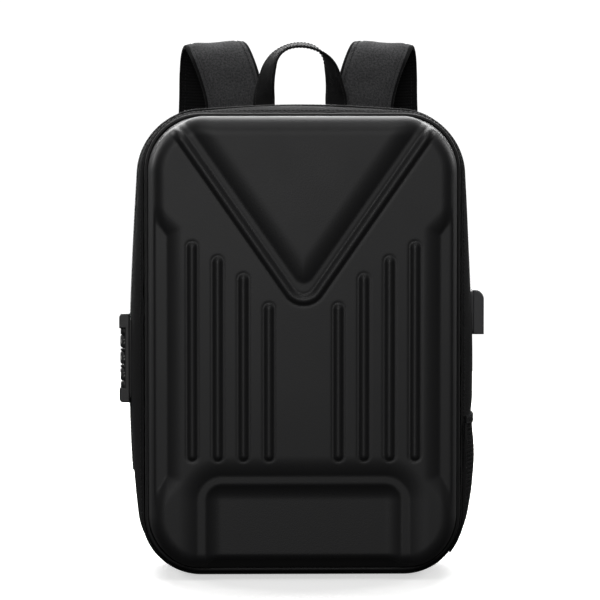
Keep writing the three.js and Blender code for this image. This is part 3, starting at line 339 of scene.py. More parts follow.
def body_outline(depth, out=0.0, dent=True):
    """The fabric body's outline at shares of its depth, from its table of sets, bellies and crowns, moved outwards."""
    sets, belly, crown = (table(depth, GUSSET_ROWS, k) for k in (1, 2, 3))
    sets = np.minimum(sets, 1.0)
    return outline(EDGE_HALF + SIDE_SET * sets + out, EDGE_TOP + TOP_SET * sets + out, EDGE_LIFT * (1 - sets) - out,
                   EDGE_RADIUS_TOP + SIDE_SET * sets + out, EDGE_RADIUS_FOOT + SIDE_SET * sets + out,
                   SIDE_BELLY * belly, TOP_CROWN * crown, POCKET_DENT * belly if dent else 0 * belly)


def side_at(side, depth, z, dent=True):
    """How far the fabric body's side stands from the middle, at a share of its depth and heights z."""
    shape = body_outline([depth], dent=dent)[0]
    count = len(shape) // 2
    half = shape[:count] if side > 0 else shape[count:][::-1]
    return np.interp(z, half[:, 1], np.abs(half[:, 0]))


def lengths_round(rows):
    """The distance along each ring from its first point."""
    step = np.linalg.norm(np.diff(rows, axis=1), axis=2)
    return np.concatenate([np.zeros((len(rows), 1)), np.cumsum(step, axis=1)], axis=1)


# Materials

def linear(code):
    """An sRGB hex colour as linear red, green, blue and alpha."""
    parts = [int(code[i:i + 2], 16) / 255 for i in (0, 2, 4)]
    return tuple(c / 12.92 if c <= 0.04045 else ((c + 0.055) / 1.055) ** 2.4 for c in parts) + (1.0,)


def node(tree, kind, links=None, values=None, **settings):
    """Adds a node with its settings, its inputs' values, and links into its inputs."""
    made = tree.nodes.new(kind)
    for key, value in settings.items():
        setattr(made, key, value)
    for key, value in (values or {}).items():
        made.inputs[key].default_value = value
    for key, source in (links or {}).items():
        tree.links.new(source, made.inputs[key])
    return made


def material(name, base, **values):
    """A new node material whose shader takes its constants from values, with its tree and shader."""
    made = bpy.data.materials.new(name)
    made.use_nodes = True
    tree = made.node_tree
    shader = tree.nodes["Principled BSDF"]
    shader.inputs["Base Color"].default_value = linear(base)
    for key, value in values.items():
        shader.inputs[key.replace("_", " ").title().replace("Ior", "IOR")].default_value = value
    made.diffuse_color = linear(base)
    return made, tree, shader


def sums(tree, operation, *terms):
    """The output of a maths node over links and constants."""
    links = {k: term for k, term in enumerate(terms) if not isinstance(term, float)}
    values = {k: term for k, term in enumerate(terms) if isinstance(term, float)}
    return node(tree, "ShaderNodeMath", links, values, operation=operation).outputs[0]


def mapped(tree, value, **limits):
    """A value mapped from one range to another, each 0 to 1 unless it is given."""
    limits = {key.replace("_", " ").title(): limit for key, limit in limits.items()}
    return node(tree, "ShaderNodeMapRange", {"Value": value}, limits).outputs["Result"]


def solid_noise(tree, **values):
    """Noise on the place in the object, in metres."""
    place = node(tree, "ShaderNodeTexCoord").outputs["Object"]
    values = {key.title(): value for key, value in values.items()}
    return node(tree, "ShaderNodeTexNoise", {"Vector": place}, values).outputs["Fac"]


def cloth_place(tree):
    """The place on a cloth, in metres along and across it."""
    return node(tree, "ShaderNodeUVMap", uv_map="cloth").outputs["UV"]


def bump(tree, shader, height, strength, distance):
    """Height in metres times distance pushes the surface's normal."""
    made = node(tree, "ShaderNodeBump", {"Height": height}, {"Strength": strength, "Distance": distance})
    tree.links.new(made.outputs["Normal"], shader.inputs["Normal"])


def two_tone(tree, shader, factor, dark, pale):
    """Base colour from dark at factor 0 to pale at 1."""
    colour = node(tree, "ShaderNodeMix", {"Factor": factor}, {6: dark, 7: pale}, data_type="RGBA")
    tree.links.new(colour.outputs[2], shader.inputs["Base Color"])


def uneven_gloss(tree, shader, cloud, low, high):
    """Roughness from low to high over a cloud of noise."""
    tree.links.new(mapped(tree, cloud, to_min=low, to_max=high), shader.inputs["Roughness"])


def threads(tree, source, spacing, twill=0.0):
    """Woven threads on a 2-D place in metres: two crossing sine ridges at the spacing, one leaned over for a twill."""
    split = node(tree, "ShaderNodeSeparateXYZ", {"Vector": source})
    lean = sums(tree, "MULTIPLY_ADD", split.outputs["Y"], twill, split.outputs["X"])
    waves = [sums(tree, "SINE", sums(tree, "MULTIPLY", line, 2 * PI / spacing)) for line in (lean, split.outputs["Y"])]
    return sums(tree, "MULTIPLY", *waves)


def moulded_shell():
    """Thermoformed EVA under a film of PU: satin black, with a skin-fine grain of 1.2 mm pressed in by the mould."""
    made, tree, shader = material("pu_film_on_moulded_eva", "1f1f20", roughness=0.5, ior=1.48)
    place = node(tree, "ShaderNodeTexCoord").outputs["Object"]
    grain = node(tree, "ShaderNodeTexVoronoi", {"Vector": place}, {"Scale": 1 / 0.0012}, feature="SMOOTH_F1")
    uneven_gloss(tree, shader, solid_noise(tree, scale=14.0, detail=3.0), 0.46, 0.54)
    bump(tree, shader, grain.outputs["Distance"], 0.12, 0.0004)
    return made


def woven_polyester(name="woven_polyester", base="0e0e0f", spacing=0.0011, fleck=1.0):
    """Polyester pack cloth: plain weave, drawn at 1.1 mm a thread so that it shows, dull. Its colour mixes a random
    yarn fleck, which is the cloth's own, with painted shade that makes the thread crossings paler and the gaps between
    threads darker.
    """
    made, tree, shader = material(name, base, roughness=0.9, specular_ior_level=0.22)
    place = cloth_place(tree)
    yarn = node(tree, "ShaderNodeTexNoise", {"Vector": place}, {"Scale": 1 / 0.0019, "Detail": 3.0})
    mixed = sums(tree, "MULTIPLY_ADD", yarn.outputs["Fac"], fleck, threads(tree, place, spacing))
    # colour tone: part random yarn fleck, part painted shade from the weave's height, darker between threads
    shade = mapped(tree, mixed, from_min=0.5 * fleck - 1.1, from_max=0.5 * fleck + 1.1)
    dark, pale = [tuple(c * k for c in linear(base)[:3]) + (1.0,) for k in (0.55, 1.7)]
    two_tone(tree, shader, shade, dark, pale)
    bump(tree, shader, mixed, 0.5, 0.0003)
    return made


def spacer_mesh():
    """Knitted spacer mesh: small round holes at 3.4 mm in staggered rows in a dull black face; each hole is painted
    darker with its depth, as painted shade.
    """
    made, tree, shader = material("knitted_spacer_mesh", "121213", roughness=0.92, specular_ior_level=0.3)
    holes = threads(tree, cloth_place(tree), 0.0034, twill=1.0)
    hole_depth_and_shade = mapped(tree, holes, from_min=-0.5, from_max=0.55)
    # painted shade: the holes' colour goes to near black with their depth
    two_tone(tree, shader, hole_depth_and_shade, linear("1b1b1c"), linear("050505"))
    bump(tree, shader, sums(tree, "MULTIPLY", hole_depth_and_shade, -1.0), 0.8, 0.0008)
    return made


def nylon_webbing():
    """Nylon webbing: a herringbone of ribs 1.8 mm apart, which turns every 4 mm of its width, dull, with painted
    shade: the grooves between ribs darker and the crests paler.
    """
    made, tree, shader = material("nylon_webbing", "0b0b0c", roughness=0.72, specular_ior_level=0.3)
    split = node(tree, "ShaderNodeSeparateXYZ", {"Vector": cloth_place(tree)})
    side = sums(tree, "PINGPONG", split.outputs["Y"], 0.004)
    lean = sums(tree, "MULTIPLY_ADD", side, 0.9, split.outputs["X"])
    rib = sums(tree, "SINE", sums(tree, "MULTIPLY", lean, 2 * PI / 0.0018))
    # painted shade and highlight: colour follows the ribs' height, dark in the grooves and pale on the crests
    two_tone(tree, shader, mapped(tree, rib, from_min=-1.0), linear("040405"), linear("121213"))
    bump(tree, shader, rib, 0.6, 0.0003)
    return made


def moulded_plastic(name, base, roughness, size):
    """Injection-moulded plastic with a spark-eroded grain of a size in metres, a little uneven in gloss."""
    made, tree, shader = material(name, base, roughness=roughness, ior=1.5)
    grain = solid_noise(tree, scale=1 / size, detail=3.0)
    uneven_gloss(tree, shader, grain, roughness - 0.06, roughness + 0.06)
    bump(tree, shader, grain, 0.25, 0.0003)
    return made


def plated_metal(name, base, roughness, scale, low, high):
    """Plated metal: fairly sharp reflections, faintly uneven."""
    made, tree, shader = material(name, base, roughness=roughness, metallic=1.0)
    uneven_gloss(tree, shader, solid_noise(tree, scale=scale, detail=2.0), low, high)
    return made


def thread_look(name, base):
    """Bonded polyester thread: matt, a shade off the cloth that it holds."""
    made, tree, shader = material(name, base, roughness=0.75)
    bump(tree, shader, solid_noise(tree, scale=2500.0), 0.5, 0.0001)
    return made


SHELL = moulded_shell()
CLOTH = woven_polyester(fleck=1.6)
PAD_CLOTH = woven_polyester("brushed_pad_cloth", "464647", 0.0013, 5.0)
PIPING = moulded_plastic("pu_covered_piping", "161617", 0.62, 0.0012)
BINDING = woven_polyester("binding_tape", "101011", 0.0009)
SPACER = spacer_mesh()
WEBBING = nylon_webbing()
NET = thread_look("knitted_net_cord", "111112")
HEM = woven_polyester("elastic_tape", "161617", 0.0012)
HOUSING = moulded_plastic("abs_housing", "2b2b2c", 0.4, 0.0008)
HOOD = moulded_plastic("abs_port_hood", "3c3c3e", 0.36, 0.0008)
DIAL = moulded_plastic("acetal_dial", "2a2a2c", 0.5, 0.0007)
DIGIT = moulded_plastic("pad_printed_white", "c9c9c6", 0.6, 0.001)
ACETAL = moulded_plastic("acetal_buckle", "171718", 0.38, 0.001)
METAL = plated_metal("black_nickel_on_zinc", "3a3a3d", 0.3, 900.0, 0.24, 0.38)
SOCKET = plated_metal("nickel_plated_steel", "b9b9bb", 0.25, 700.0, 0.2, 0.34)
COIL = moulded_plastic("nylon_zip_coil", "0f0f10", 0.4, 0.0006)
STITCH = thread_look("bonded_thread", "1d1d1e")


# The front shell

ROLL = 15.0
ROLL_END = math.radians(84)
FLAT_IN = PIPING_SET + 18.0
FLAT_HALF = EDGE_HALF - FLAT_IN
FLAT_TOP = EDGE_TOP - FLAT_IN
FLAT_FOOT = EDGE_LIFT + FLAT_IN
FLAT_RADIUS = 35.0
FLANK = (SHELL_DEPTH - GAP - ROLL * (1 - math.cos(ROLL_END))) / math.sin(ROLL_END)
WRAP = ROLL * ROLL_END + FLANK
DOME = 1.2
SHELL_WALL = 4.0


def wrap_profile(s):
    """Outward and backward distances, and the surface's tilt, at a distance s past the flat: a roll of 15 mm radius
    to 84 degrees, and then straight down the flank."""
    a = np.clip(s / ROLL, 0, ROLL_END)
    rest = np.maximum(s - ROLL * ROLL_END, 0)
    return ROLL * np.sin(a) + rest * math.cos(ROLL_END), ROLL * (1 - np.cos(a)) + rest * math.sin(ROLL_END), a


def past_flat(x, z):
    """Distance past the flat's rounded edge and the direction outwards, for places on the unwrapped face."""
    high = z > (FLAT_TOP + FLAT_FOOT) / 2
    px = np.abs(x) - (FLAT_HALF - FLAT_RADIUS)
    pz = np.where(high, z - (FLAT_TOP - FLAT_RADIUS), FLAT_FOOT + FLAT_RADIUS - z)
    both = (px > 0) & (pz > 0)
    reach = np.hypot(px, pz)
    far = np.where(both, reach, np.maximum(px, pz)) - FLAT_RADIUS
    dx = np.where(both, px / np.maximum(reach, 1e-9), (px >= pz).astype(float))
    dz = np.where(both, pz / np.maximum(reach, 1e-9), (px < pz).astype(float))
    return np.maximum(far, 0), dx * np.sign(x), dz * np.where(high, 1.0, -1.0)


# The relief, measured on the unwrapped face

V_ANGLE = math.radians(35)
V_TIP, V_RADIUS = 267.4, 16.5
PILLOW, PILLOW_SET, PILLOW_FOOT, PILLOW_RISE = 4.6, 12.0, 283.5, 19.0  # the raised panel between the V's arms
RIB_WIDE, RIB_HIGH = 9.4, 2.9
RIB_FIRST, RIB_PITCH = 32.7, 24.1
RIB_FOOT, RIB_TOPS = 115.4, (264.1, 291.9, 308.3, 322.0)
STRIP_SIDE, STRIP_TOP, STRIP_FOOT, STRIP_RISE = 128.6, 328.6, 100.8, 16.0  # the sunken strip at each side
ARCH_HALF, ARCH_HIGH, ARCH_RADIUS, ARCH_SINK, ARCH_RISE = 77.0, 77.3, 23.5, 4.2, 19.0  # the hollow at the foot
TRAY_IN, TRAY_SINK, TRAY_RISE = 8.2, 5.2, 15.0  # the flat sunk further inside it


def crest(d, wide, height, groove):
    """A raised bead across distance d from its middle: a rounded cosine hump with a fine groove at each foot."""
    t = np.clip(np.abs(d) / (wide / 2), 0, 1)
    hump = height * np.cos(t * PI / 2) ** 0.9
    return hump - groove * np.exp(-((np.abs(d) - wide / 2 - 0.3) / 1.2) ** 2)


def rise(q, wide):
    """0 before a crease at q = 0, and 1 - (1 - t)^2 after it, steep at the crease and level at its far side."""
    t = np.clip(q / wide, 0, 1)
    return 1 - (1 - t) ** 2


def relief(x, z, s):
    """Height of the moulded relief over the plain face, on unwrapped places that lie s past the flat."""
    side = np.abs(x)
    sin_v, cos_v = math.sin(V_ANGLE), math.cos(V_ANGLE)
    centre = V_TIP + V_RADIUS
    along = side * sin_v + (z - centre) * cos_v
    line = -(side - V_RADIUS * cos_v) * cos_v + (z - centre + V_RADIUS * sin_v) * sin_v
    bend = V_RADIUS - np.hypot(side, z - centre)
    v_bead = np.where(along > 0, line, bend)
    height = crest(v_bead, RIB_WIDE + 0.4, RIB_HIGH, 0.5) * (1 - ease(s, 9, 21))
    panel = soft_min(line - PILLOW_SET, z - PILLOW_FOOT, 5.0)
    height += PILLOW * rise(panel, PILLOW_RISE) * (1 - ease(s, 12, 36))
    for i, top in enumerate(RIB_TOPS):
        past_end = np.maximum(z - top + RIB_WIDE / 2, RIB_FOOT + RIB_WIDE / 2 - z)
        off = np.hypot(side - (RIB_FIRST + RIB_PITCH * i), np.maximum(0, past_end))
        height += crest(off, RIB_WIDE - 0.2, RIB_HIGH, 0.8) * (off < RIB_WIDE)
    strip = soft_max(STRIP_SIDE - side, (STRIP_TOP - z - STRIP_SIDE + side) / -math.sqrt(2), 1.5)
    strip = soft_max(strip, (-1.25 * (side - STRIP_SIDE) - (z - STRIP_FOOT)) / 1.6, 1.5)
    _, back, tilt = wrap_profile(s)
    level = soft_max(PILLOW - back, 0 * back, 0.7) * (back < PILLOW + 1) / np.cos(np.minimum(tilt, 1.0))
    height -= level * (1 - rise(strip, STRIP_RISE))
    px, pz = side - ARCH_HALF, z - ARCH_HIGH
    arch = np.where((px > 0) & (pz > 0), np.hypot(px, pz), np.maximum(px, pz)) - ARCH_RADIUS
    low = 1 - ease(s, 26, 50)
    height -= ARCH_SINK * (1 - rise(arch, ARCH_RISE)) * low
    height -= TRAY_SINK * rise(-TRAY_IN - arch, TRAY_RISE) * low
    return height


def folded(x, z, lift, past):
    """Places in space for places on the unwrapped face at a height over it, past the flat as past_flat says."""
    s, dx, dz = past
    out, back, tilt = wrap_profile(s)
    draw = s - out - lift * np.sin(tilt)
    return np.stack([x - dx * draw, FACE_Y + back - lift * np.cos(tilt), z - dz * draw], axis=-1)


def shell_skin(x, z):
    """The shell's outer skin, lifted by the relief and by a slight dome over the whole face."""
    past = past_flat(x, z)
    dome = DOME * np.cos(np.clip(x / FLAT_HALF, -1, 1) * PI / 2) * np.sin(
        np.clip((z - FLAT_FOOT) / (FLAT_TOP - FLAT_FOOT), 0, 1) * PI)
    return folded(x, z, relief(x, z, past[0]) + dome, past)


def shell_lining(x, z):
    """The shell's inner wall, under its plain face and its hollows, level behind what is raised."""
    past = past_flat(x, z)
    return folded(x, z, np.minimum(relief(x, z, past[0]), 0) - SHELL_WALL, past)


SHELL_COARSE = 4
SHELL_BEND_ROWS, SHELL_SIDE_ROWS = 80, 224
FLAT_COLUMNS, ROLL_COLUMNS, FLANK_COLUMNS = 93, 12, 7
ROLL_RUN = 22.0  # the roll's length, rounded up


def shell_grid():
    """Unwrapped places in rows, closer together in the corners and on the roll, each row as wide as the unwrapped
    outline there."""
    total, roll_end = FLAT_HALF + WRAP, FLAT_HALF + ROLL_RUN
    half = np.concatenate([np.linspace(0, FLAT_HALF, FLAT_COLUMNS + 1),
                           np.linspace(FLAT_HALF, roll_end, ROLL_COLUMNS + 1)[1:],
                           np.linspace(roll_end, total, FLANK_COLUMNS + 1)[1:]]) / total
    columns = np.concatenate([-half[:0:-1], half])
    bend = FLAT_RADIUS + WRAP
    a = np.linspace(0, PI / 2, SHELL_BEND_ROWS + 1)
    low = FLAT_FOOT - WRAP + bend * (1 - np.cos(a))
    high = FLAT_TOP + WRAP - bend * (1 - np.cos(a))[::-1]
    z = np.concatenate([low, np.linspace(low[-1], high[0], SHELL_SIDE_ROWS + 1)[1:-1], high])
    reach = np.concatenate([bend * np.sin(a), np.full(SHELL_SIDE_ROWS - 1, bend), (bend * np.sin(a))[::-1]])
    wide = FLAT_HALF - FLAT_RADIUS + reach
    return wide[:, None] * columns[None, :], np.broadcast_to(z[:, None], (len(z), len(columns)))


def rim_of(rows, cols, start):
    """Corner numbers round a grid's edge, once round from its first corner."""
    top = np.arange(cols - 1)
    right = np.arange(rows - 1) * cols + cols - 1
    foot = (rows - 1) * cols + np.arange(cols - 1, 0, -1)
    left = np.arange(rows - 1, 0, -1) * cols
    return start + np.concatenate([top, right, foot, left])


def front_shell():
    """The shell: its outer skin on a fine grid, its inner wall on a grid four times coarser, and a strip of triangles
    round the rim that joins each inner step to its four outer steps."""
    x, z = shell_grid()
    outer = shell_skin(x, z)
    inner = shell_lining(x[::SHELL_COARSE, ::SHELL_COARSE], z[::SHELL_COARSE, ::SHELL_COARSE])
    (rows, cols), (in_rows, in_cols) = outer.shape[:2], inner.shape[:2]
    far, near = rim_of(rows, cols, 0), rim_of(in_rows, in_cols, rows * cols)
    after = np.roll(near, -1)
    strips = []
    for k in range(SHELL_COARSE):
        here, ahead = far[k::SHELL_COARSE], np.roll(far, -1)[k::SHELL_COARSE]
        strips.append(np.stack([ahead, here, near if k < SHELL_COARSE / 2 else after], axis=-1))
    strips.append(np.stack([near, after, far[SHELL_COARSE // 2::SHELL_COARSE]], axis=-1))
    faces = [np.concatenate([quads_of(rows, cols, False, False),
                             quads_of(in_rows, in_cols, False, False)[:, ::-1] + rows * cols]),
             np.concatenate(strips)]
    points = np.concatenate([outer.reshape(-1, 3), inner.reshape(-1, 3)])
    made = piece("moulded_shell", points, faces, [SHELL])
    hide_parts("front_shell")


# The fabric body, the piping and the seams

PIPING_RADIUS, PIPING_IN = 1.9, 1.5


def piping():
    """The bead round the shell's edge: a small circle carried round the seam's outline."""
    a = np.linspace(0, 2 * PI, 14, endpoint=False)
    rows = np.concatenate([ring(edge_outline(PIPING_IN - PIPING_RADIUS * math.cos(t)),
                                EDGE_Y - PIPING_SET + PIPING_RADIUS * math.sin(t)) for t in a])
    uv = np.stack([lengths_round(rows), np.broadcast_to(a[:, None] * PIPING_RADIUS, rows.shape[:2])], axis=-1)
    made = piece("shell_edge_piping", rows, [quads_of(len(a), rows.shape[1], True, True)], [PIPING], uv=uv)
    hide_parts("shell_piping")


def body_rows(depth):
    """Rings of the fabric body at shares of its depth, with the slight puckers of sewn cloth near its two seams."""
    rows = ring(body_outline(depth), EDGE_Y + GUSSET_DEPTH * depth)
    run = lengths_round(rows)
    d = depth[:, None]
    near = np.exp(-d / 0.05) + np.exp(-(1 - d) / 0.06)
    slack = np.sin(PI * d) ** 0.5
    pucker = 0.35 * near * ripple(run, d * 40, 3, 26) + 0.55 * slack * ripple(run * 0.6, d * 60, 5, 95)
    outwards = unit(np.stack([rows[..., 0], 0 * run, rows[..., 2] - BODY_HEIGHT / 2], axis=-1))
    flat = ease(rows[..., 2], 4, 30)
    return rows + outwards * (pucker * flat)[..., None], run


CLOTH_THICK = 2.0


def fabric_body():
    """The fabric wall all round: an outer skin in 44 rings and an inner one 2 mm inside it, joined at both edges."""
    depth = np.concatenate([[0, 0.008, 0.02], np.linspace(0.04, 0.96, 38), [0.98, 0.992, 1.0]])
    outer, run = body_rows(depth)
    inner = ring(body_outline(depth[::-4], -CLOTH_THICK), EDGE_Y + GUSSET_DEPTH * depth[::-4])
    rows = np.concatenate([outer, inner])
    uv = np.stack([np.concatenate([run, lengths_round(inner)]),
                   np.broadcast_to(rows[:, :1, 1], rows.shape[:2])], axis=-1)
    made = piece("fabric_body", rows, [quads_of(len(rows), rows.shape[1], True, True)], [CLOTH], uv=uv)
    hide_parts("gusset")


def bars(name, centre, along, up, long, wide, look, slot):
    """Short rounded threads at centres: each a five-sided bar along its own direction whose two ends dip down."""
    across = np.cross(up, along)
    shares = np.array([-0.5, -0.3, 0.3, 0.5])
    rise_by = np.array([-0.6, 0.35, 0.35, -0.6]) * wide
    a = np.linspace(0, 2 * PI, 5, endpoint=False)
    rings = (centre[:, None, None] + along[:, None, None] * (shares * long)[None, :, None, None]
             + up[:, None, None] * (rise_by[None, :, None, None] + wide / 2 * np.sin(a)[None, None, :, None])
             + across[:, None, None] * (wide / 2 * np.cos(a))[None, None, :, None])
    shift = (np.arange(len(centre)) * 20)[:, None, None]
    cells = (quads_of(4, 5, False, True) + shift).reshape(-1, 4)
    caps = (np.array([[4, 3, 2, 1, 0], [15, 16, 17, 18, 19]]) + shift).reshape(-1, 5)
    piece(name, rings, [cells, caps], [look])


def along_path(path, normal, pitch):
    """Even places on a path, with its direction and the normal there."""
    run = run_along(path)
    count = max(2, int(run[-1] / pitch))
    at = (np.arange(count) + 0.5) * run[-1] / count
    place, ahead, behind, up = [np.stack([np.interp(t, run, rows[:, k]) for k in range(3)], axis=1) for t, rows in
                                ((at, path), (at + 0.5, path), (at - 0.5, path), (at, normal))]
    return place, unit(ahead - behind), unit(up)


def stitches(name, path, normal, pitch, long, wide, look, slot):
    """A row of threads along a path."""
    bars(name, *along_path(path, normal, pitch), long, wide, look, slot)


def body_stitching():
    """A line of stitches round the fabric body beside each of its two seams."""
    for name, depth in (("front_seam_stitches", 0.045), ("rear_seam_stitches", 0.955)):
        rows, _ = body_rows(np.array([depth - 0.01, depth, depth + 0.01]))
        path = np.concatenate([rows[1], rows[1, :1]])
        around = ways(path)
        normal = unit(np.cross(around, np.concatenate([rows[2] - rows[0], rows[2, :1] - rows[0, :1]])))
        stitches(name, path, outward(normal, path), 4.2, 3.0, 0.7, STITCH, "fabric")


# The back panel

PANEL_ROWS = [  # share of the way in, inward share of the crown, back share of the panel's depth
    (0.0, 0.06, 0.0), (0.2, 0.0, 0.18), (0.4, 0.0, 0.4), (0.6, 0.14, 0.62), (0.8, 0.45, 0.86), (1.0, 1.0, 1.0)]
PANEL_HALF, PANEL_TOP, PANEL_FOOT = 153.6, 445.0, 1.2
PANEL_RADIUS_TOP, PANEL_RADIUS_FOOT = 57.6, 56.6
PANEL_CROWN, PANEL_MIDDLE = 30.0, 148.0
SPINE_SINK, CHANNEL_SINK, HEM_SINK = 5.6, 4.4, 3.2
CHANNELS = ((112, 0.10), (196, 0.16), (286, 0.22), (372, 0.0))  # height, slope


def groove(d, wide):
    """1 at distance 0, falling off as a bell on both sides."""
    return np.exp(-(d / wide) ** 2)


def back_panel():
    """The padded panel: rings from its rim inwards, its face sunk along sewn channels by smooth grooves."""
    rim, flat_rings = np.linspace(0, 1, 26), 47
    inset = np.concatenate([table(rim, PANEL_ROWS, 1) * PANEL_CROWN,
                            np.linspace(PANEL_CROWN + 2.5, PANEL_MIDDLE, flat_rings)])
    back = np.concatenate([table(rim, PANEL_ROWS, 2), np.ones(flat_rings)])
    flat = outline(PANEL_HALF - inset, PANEL_TOP - inset, PANEL_FOOT + inset,
                   np.maximum(PANEL_RADIUS_TOP - inset, 3), np.maximum(PANEL_RADIUS_FOOT - inset, 3),
                   1.1 * (inset < 40), 1.8 * np.clip(1 - inset / 60, 0, 1))
    x, z = flat[..., 0], flat[..., 1]
    away = np.maximum(inset - 12, 0)[:, None]
    channel = SPINE_SINK * (1 - ease(np.abs(x), 7, 19)) * ease(z, 40, 62) * (1 - ease(z, 372, 398))
    for level, slope in CHANNELS:
        channel = np.maximum(channel, CHANNEL_SINK * groove(z - level - slope * np.abs(x), 5.2))
    channel = np.maximum(channel, HEM_SINK * groove(away - 9, 4.0))
    wave = 0.35 * ripple(x, z, 11, 60)
    y = PANEL_FRONT_Y + PANEL_DEPTH * back[:, None] - (channel + 0.35 + wave) * ease(away, 0, 10)
    rows = np.stack([x, y, z], axis=-1)
    points, faces = tube(rows)
    points[-2:, 1] = [PANEL_FRONT_Y, rows[-1, :, 1].mean()]
    uv = np.concatenate([rows.reshape(-1, 3), points[-2:]])[:, [0, 2]]
    made = piece("padded_back_panel", points, faces, [SPACER], uv=uv)
    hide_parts("back_panel")


# Webbing, the handle and the straps

SIDES = ((1, "_right"), (-1, "_left"))


def cloth_uv(run, sideways):
    """A place along and across the cloth for each point of a tube, and for the middles of its two ends."""
    uv = np.stack(np.broadcast_arrays(run[:, None], sideways), axis=-1).reshape(-1, 2)
    return np.concatenate([uv, uv[:1], uv[-1:]])


def strip(name, path, across, wide, thick, look, slot, stands_for=None, steps=9, both=False):
    """Flat webbing along a path, in one piece or one for each side, with selvedges that round off."""
    wide = np.broadcast_to(np.asarray(wide, float), (len(path),))
    base = round_box(20.0, thick, thick * 0.45, 3, steps)
    section = np.stack([base * [w / 20.0, 1] for w in wide])
    points, faces = tube(swept(path, across, section))
    uv = cloth_uv(run_along(path), section[..., 0])
    for side, label in (SIDES if both else ((1, ""),)):
        made = piece(name + label, points * [side, 1, 1], faces, [look], uv=uv)
        if stands_for:
            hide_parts(stands_for + label)


HANDLE_ROWS = [  # out, up, quarter turns
    (1.0, 0.0, 0.0), (1.0, 0.12, 0.06), (0.975, 0.3, 0.34), (0.925, 0.48, 0.5), (0.845, 0.66, 0.63),
    (0.73, 0.8, 0.8), (0.56, 0.9, 0.93), (0.36, 0.965, 0.99), (0.17, 0.993, 1.0), (0.0, 1.0, 1.0)]
HANDLE_HALF, HANDLE_Y, HANDLE_FOOT, HANDLE_RISE = 35.5, 51.46, 447.87, 62.5
HANDLE_WIDE, HANDLE_THICK, HANDLE_SEAM = 21.5, 2.4, 8.4


def handle():
    """The carrying loop: its width runs across the bag at its feet, and turns to run front to back at its top."""
    rows = HANDLE_ROWS + [(-out, up, 2 - turn) for out, up, turn in HANDLE_ROWS[-2::-1]]
    rows = [(out * HANDLE_HALF, HANDLE_Y, HANDLE_FOOT + up * HANDLE_RISE, turn) for out, up, turn in rows]
    path, _ = smooth_path(rows, 130)
    along = ways(path[:, :3])
    inward = np.stack([along[:, 2], 0 * along[:, 0], -along[:, 0]], axis=1)
    a = path[:, 3:4] * PI / 2
    across = -inward * np.cos(a) + np.array([0, 0.985, 0.17]) * np.sin(a)
    strip("carry_handle_webbing", path[:, :3], across, HANDLE_WIDE, HANDLE_THICK, WEBBING, "webbing",
          "carry_handle")
    out = np.cross(along, unit(across))
    for side in (-1, 1):
        for edge in (-1, 1):
            place = path[:, :3] + unit(across) * HANDLE_SEAM * edge + out * (HANDLE_THICK / 2 + 0.05) * side
            stitches("handle_stitches_%d%d" % (side + 1, edge + 1), place, out * side, 3.4, 2.5, 0.55, STITCH,
                     "webbing")


PAD_ROWS = [  # out, back, up, wide, thick, tilt
    (0.52, 0.05, 0.872, 0.9, 0.35, 0), (0.525, 0.08, 0.918, 0.95, 0.7, 0), (0.54, 0.11, 0.975, 1, 1, 0),
    (0.57, 0.15, 1.033, 1, 1, 0.04), (0.63, 0.24, 1.09, 1, 1, 0.08), (0.69, 0.39, 1.125, 1, 1, 0.08),
    (0.735, 0.58, 1.137, 1, 1, 0.06), (0.765, 0.78, 1.12, 1, 1, 0.03), (0.78, 0.93, 1.08, 1, 1, 0),
    (0.785, 1, 1.02, 1, 1, 0), (0.795, 0.99, 0.95, 1, 1, 0), (0.82, 0.92, 0.86, 1, 1, 0),
    (0.855, 0.8, 0.75, 0.97, 1, 0), (0.895, 0.67, 0.64, 0.92, 1, 0), (0.935, 0.55, 0.53, 0.85, 0.95, 0),
    (0.97, 0.46, 0.43, 0.76, 0.9, 0), (1, 0.4, 0.36, 0.66, 0.75, 0)]


PAD_OUT, PAD_BACK, PAD_WIDE, PAD_THICK = 118.0, 67.0, 59.0, 11.0
PAD_SEAM = 0.79


def pad_crown(u):
    """Half the pad's thickness, as a share, across its width from -1 to 1: full over the middle, low at the edges."""
    return 0.22 + 0.78 * (1 - np.abs(u) ** 3.2) ** 0.5


def pad_places():
    """The pad's middle line with its width, thickness and tilt, even along its length."""
    rows = [(out * PAD_OUT - 2.0, PANEL_REAR_Y + back * PAD_BACK, up * BODY_HEIGHT, wide * PAD_WIDE,
             thick * PAD_THICK, tilt) for out, back, up, wide, thick, tilt in PAD_ROWS]
    path, length = smooth_path(rows, 190)
    path[:, 2] -= 2.6 * ease(path[:, 2], 430, 500)
    return path, length


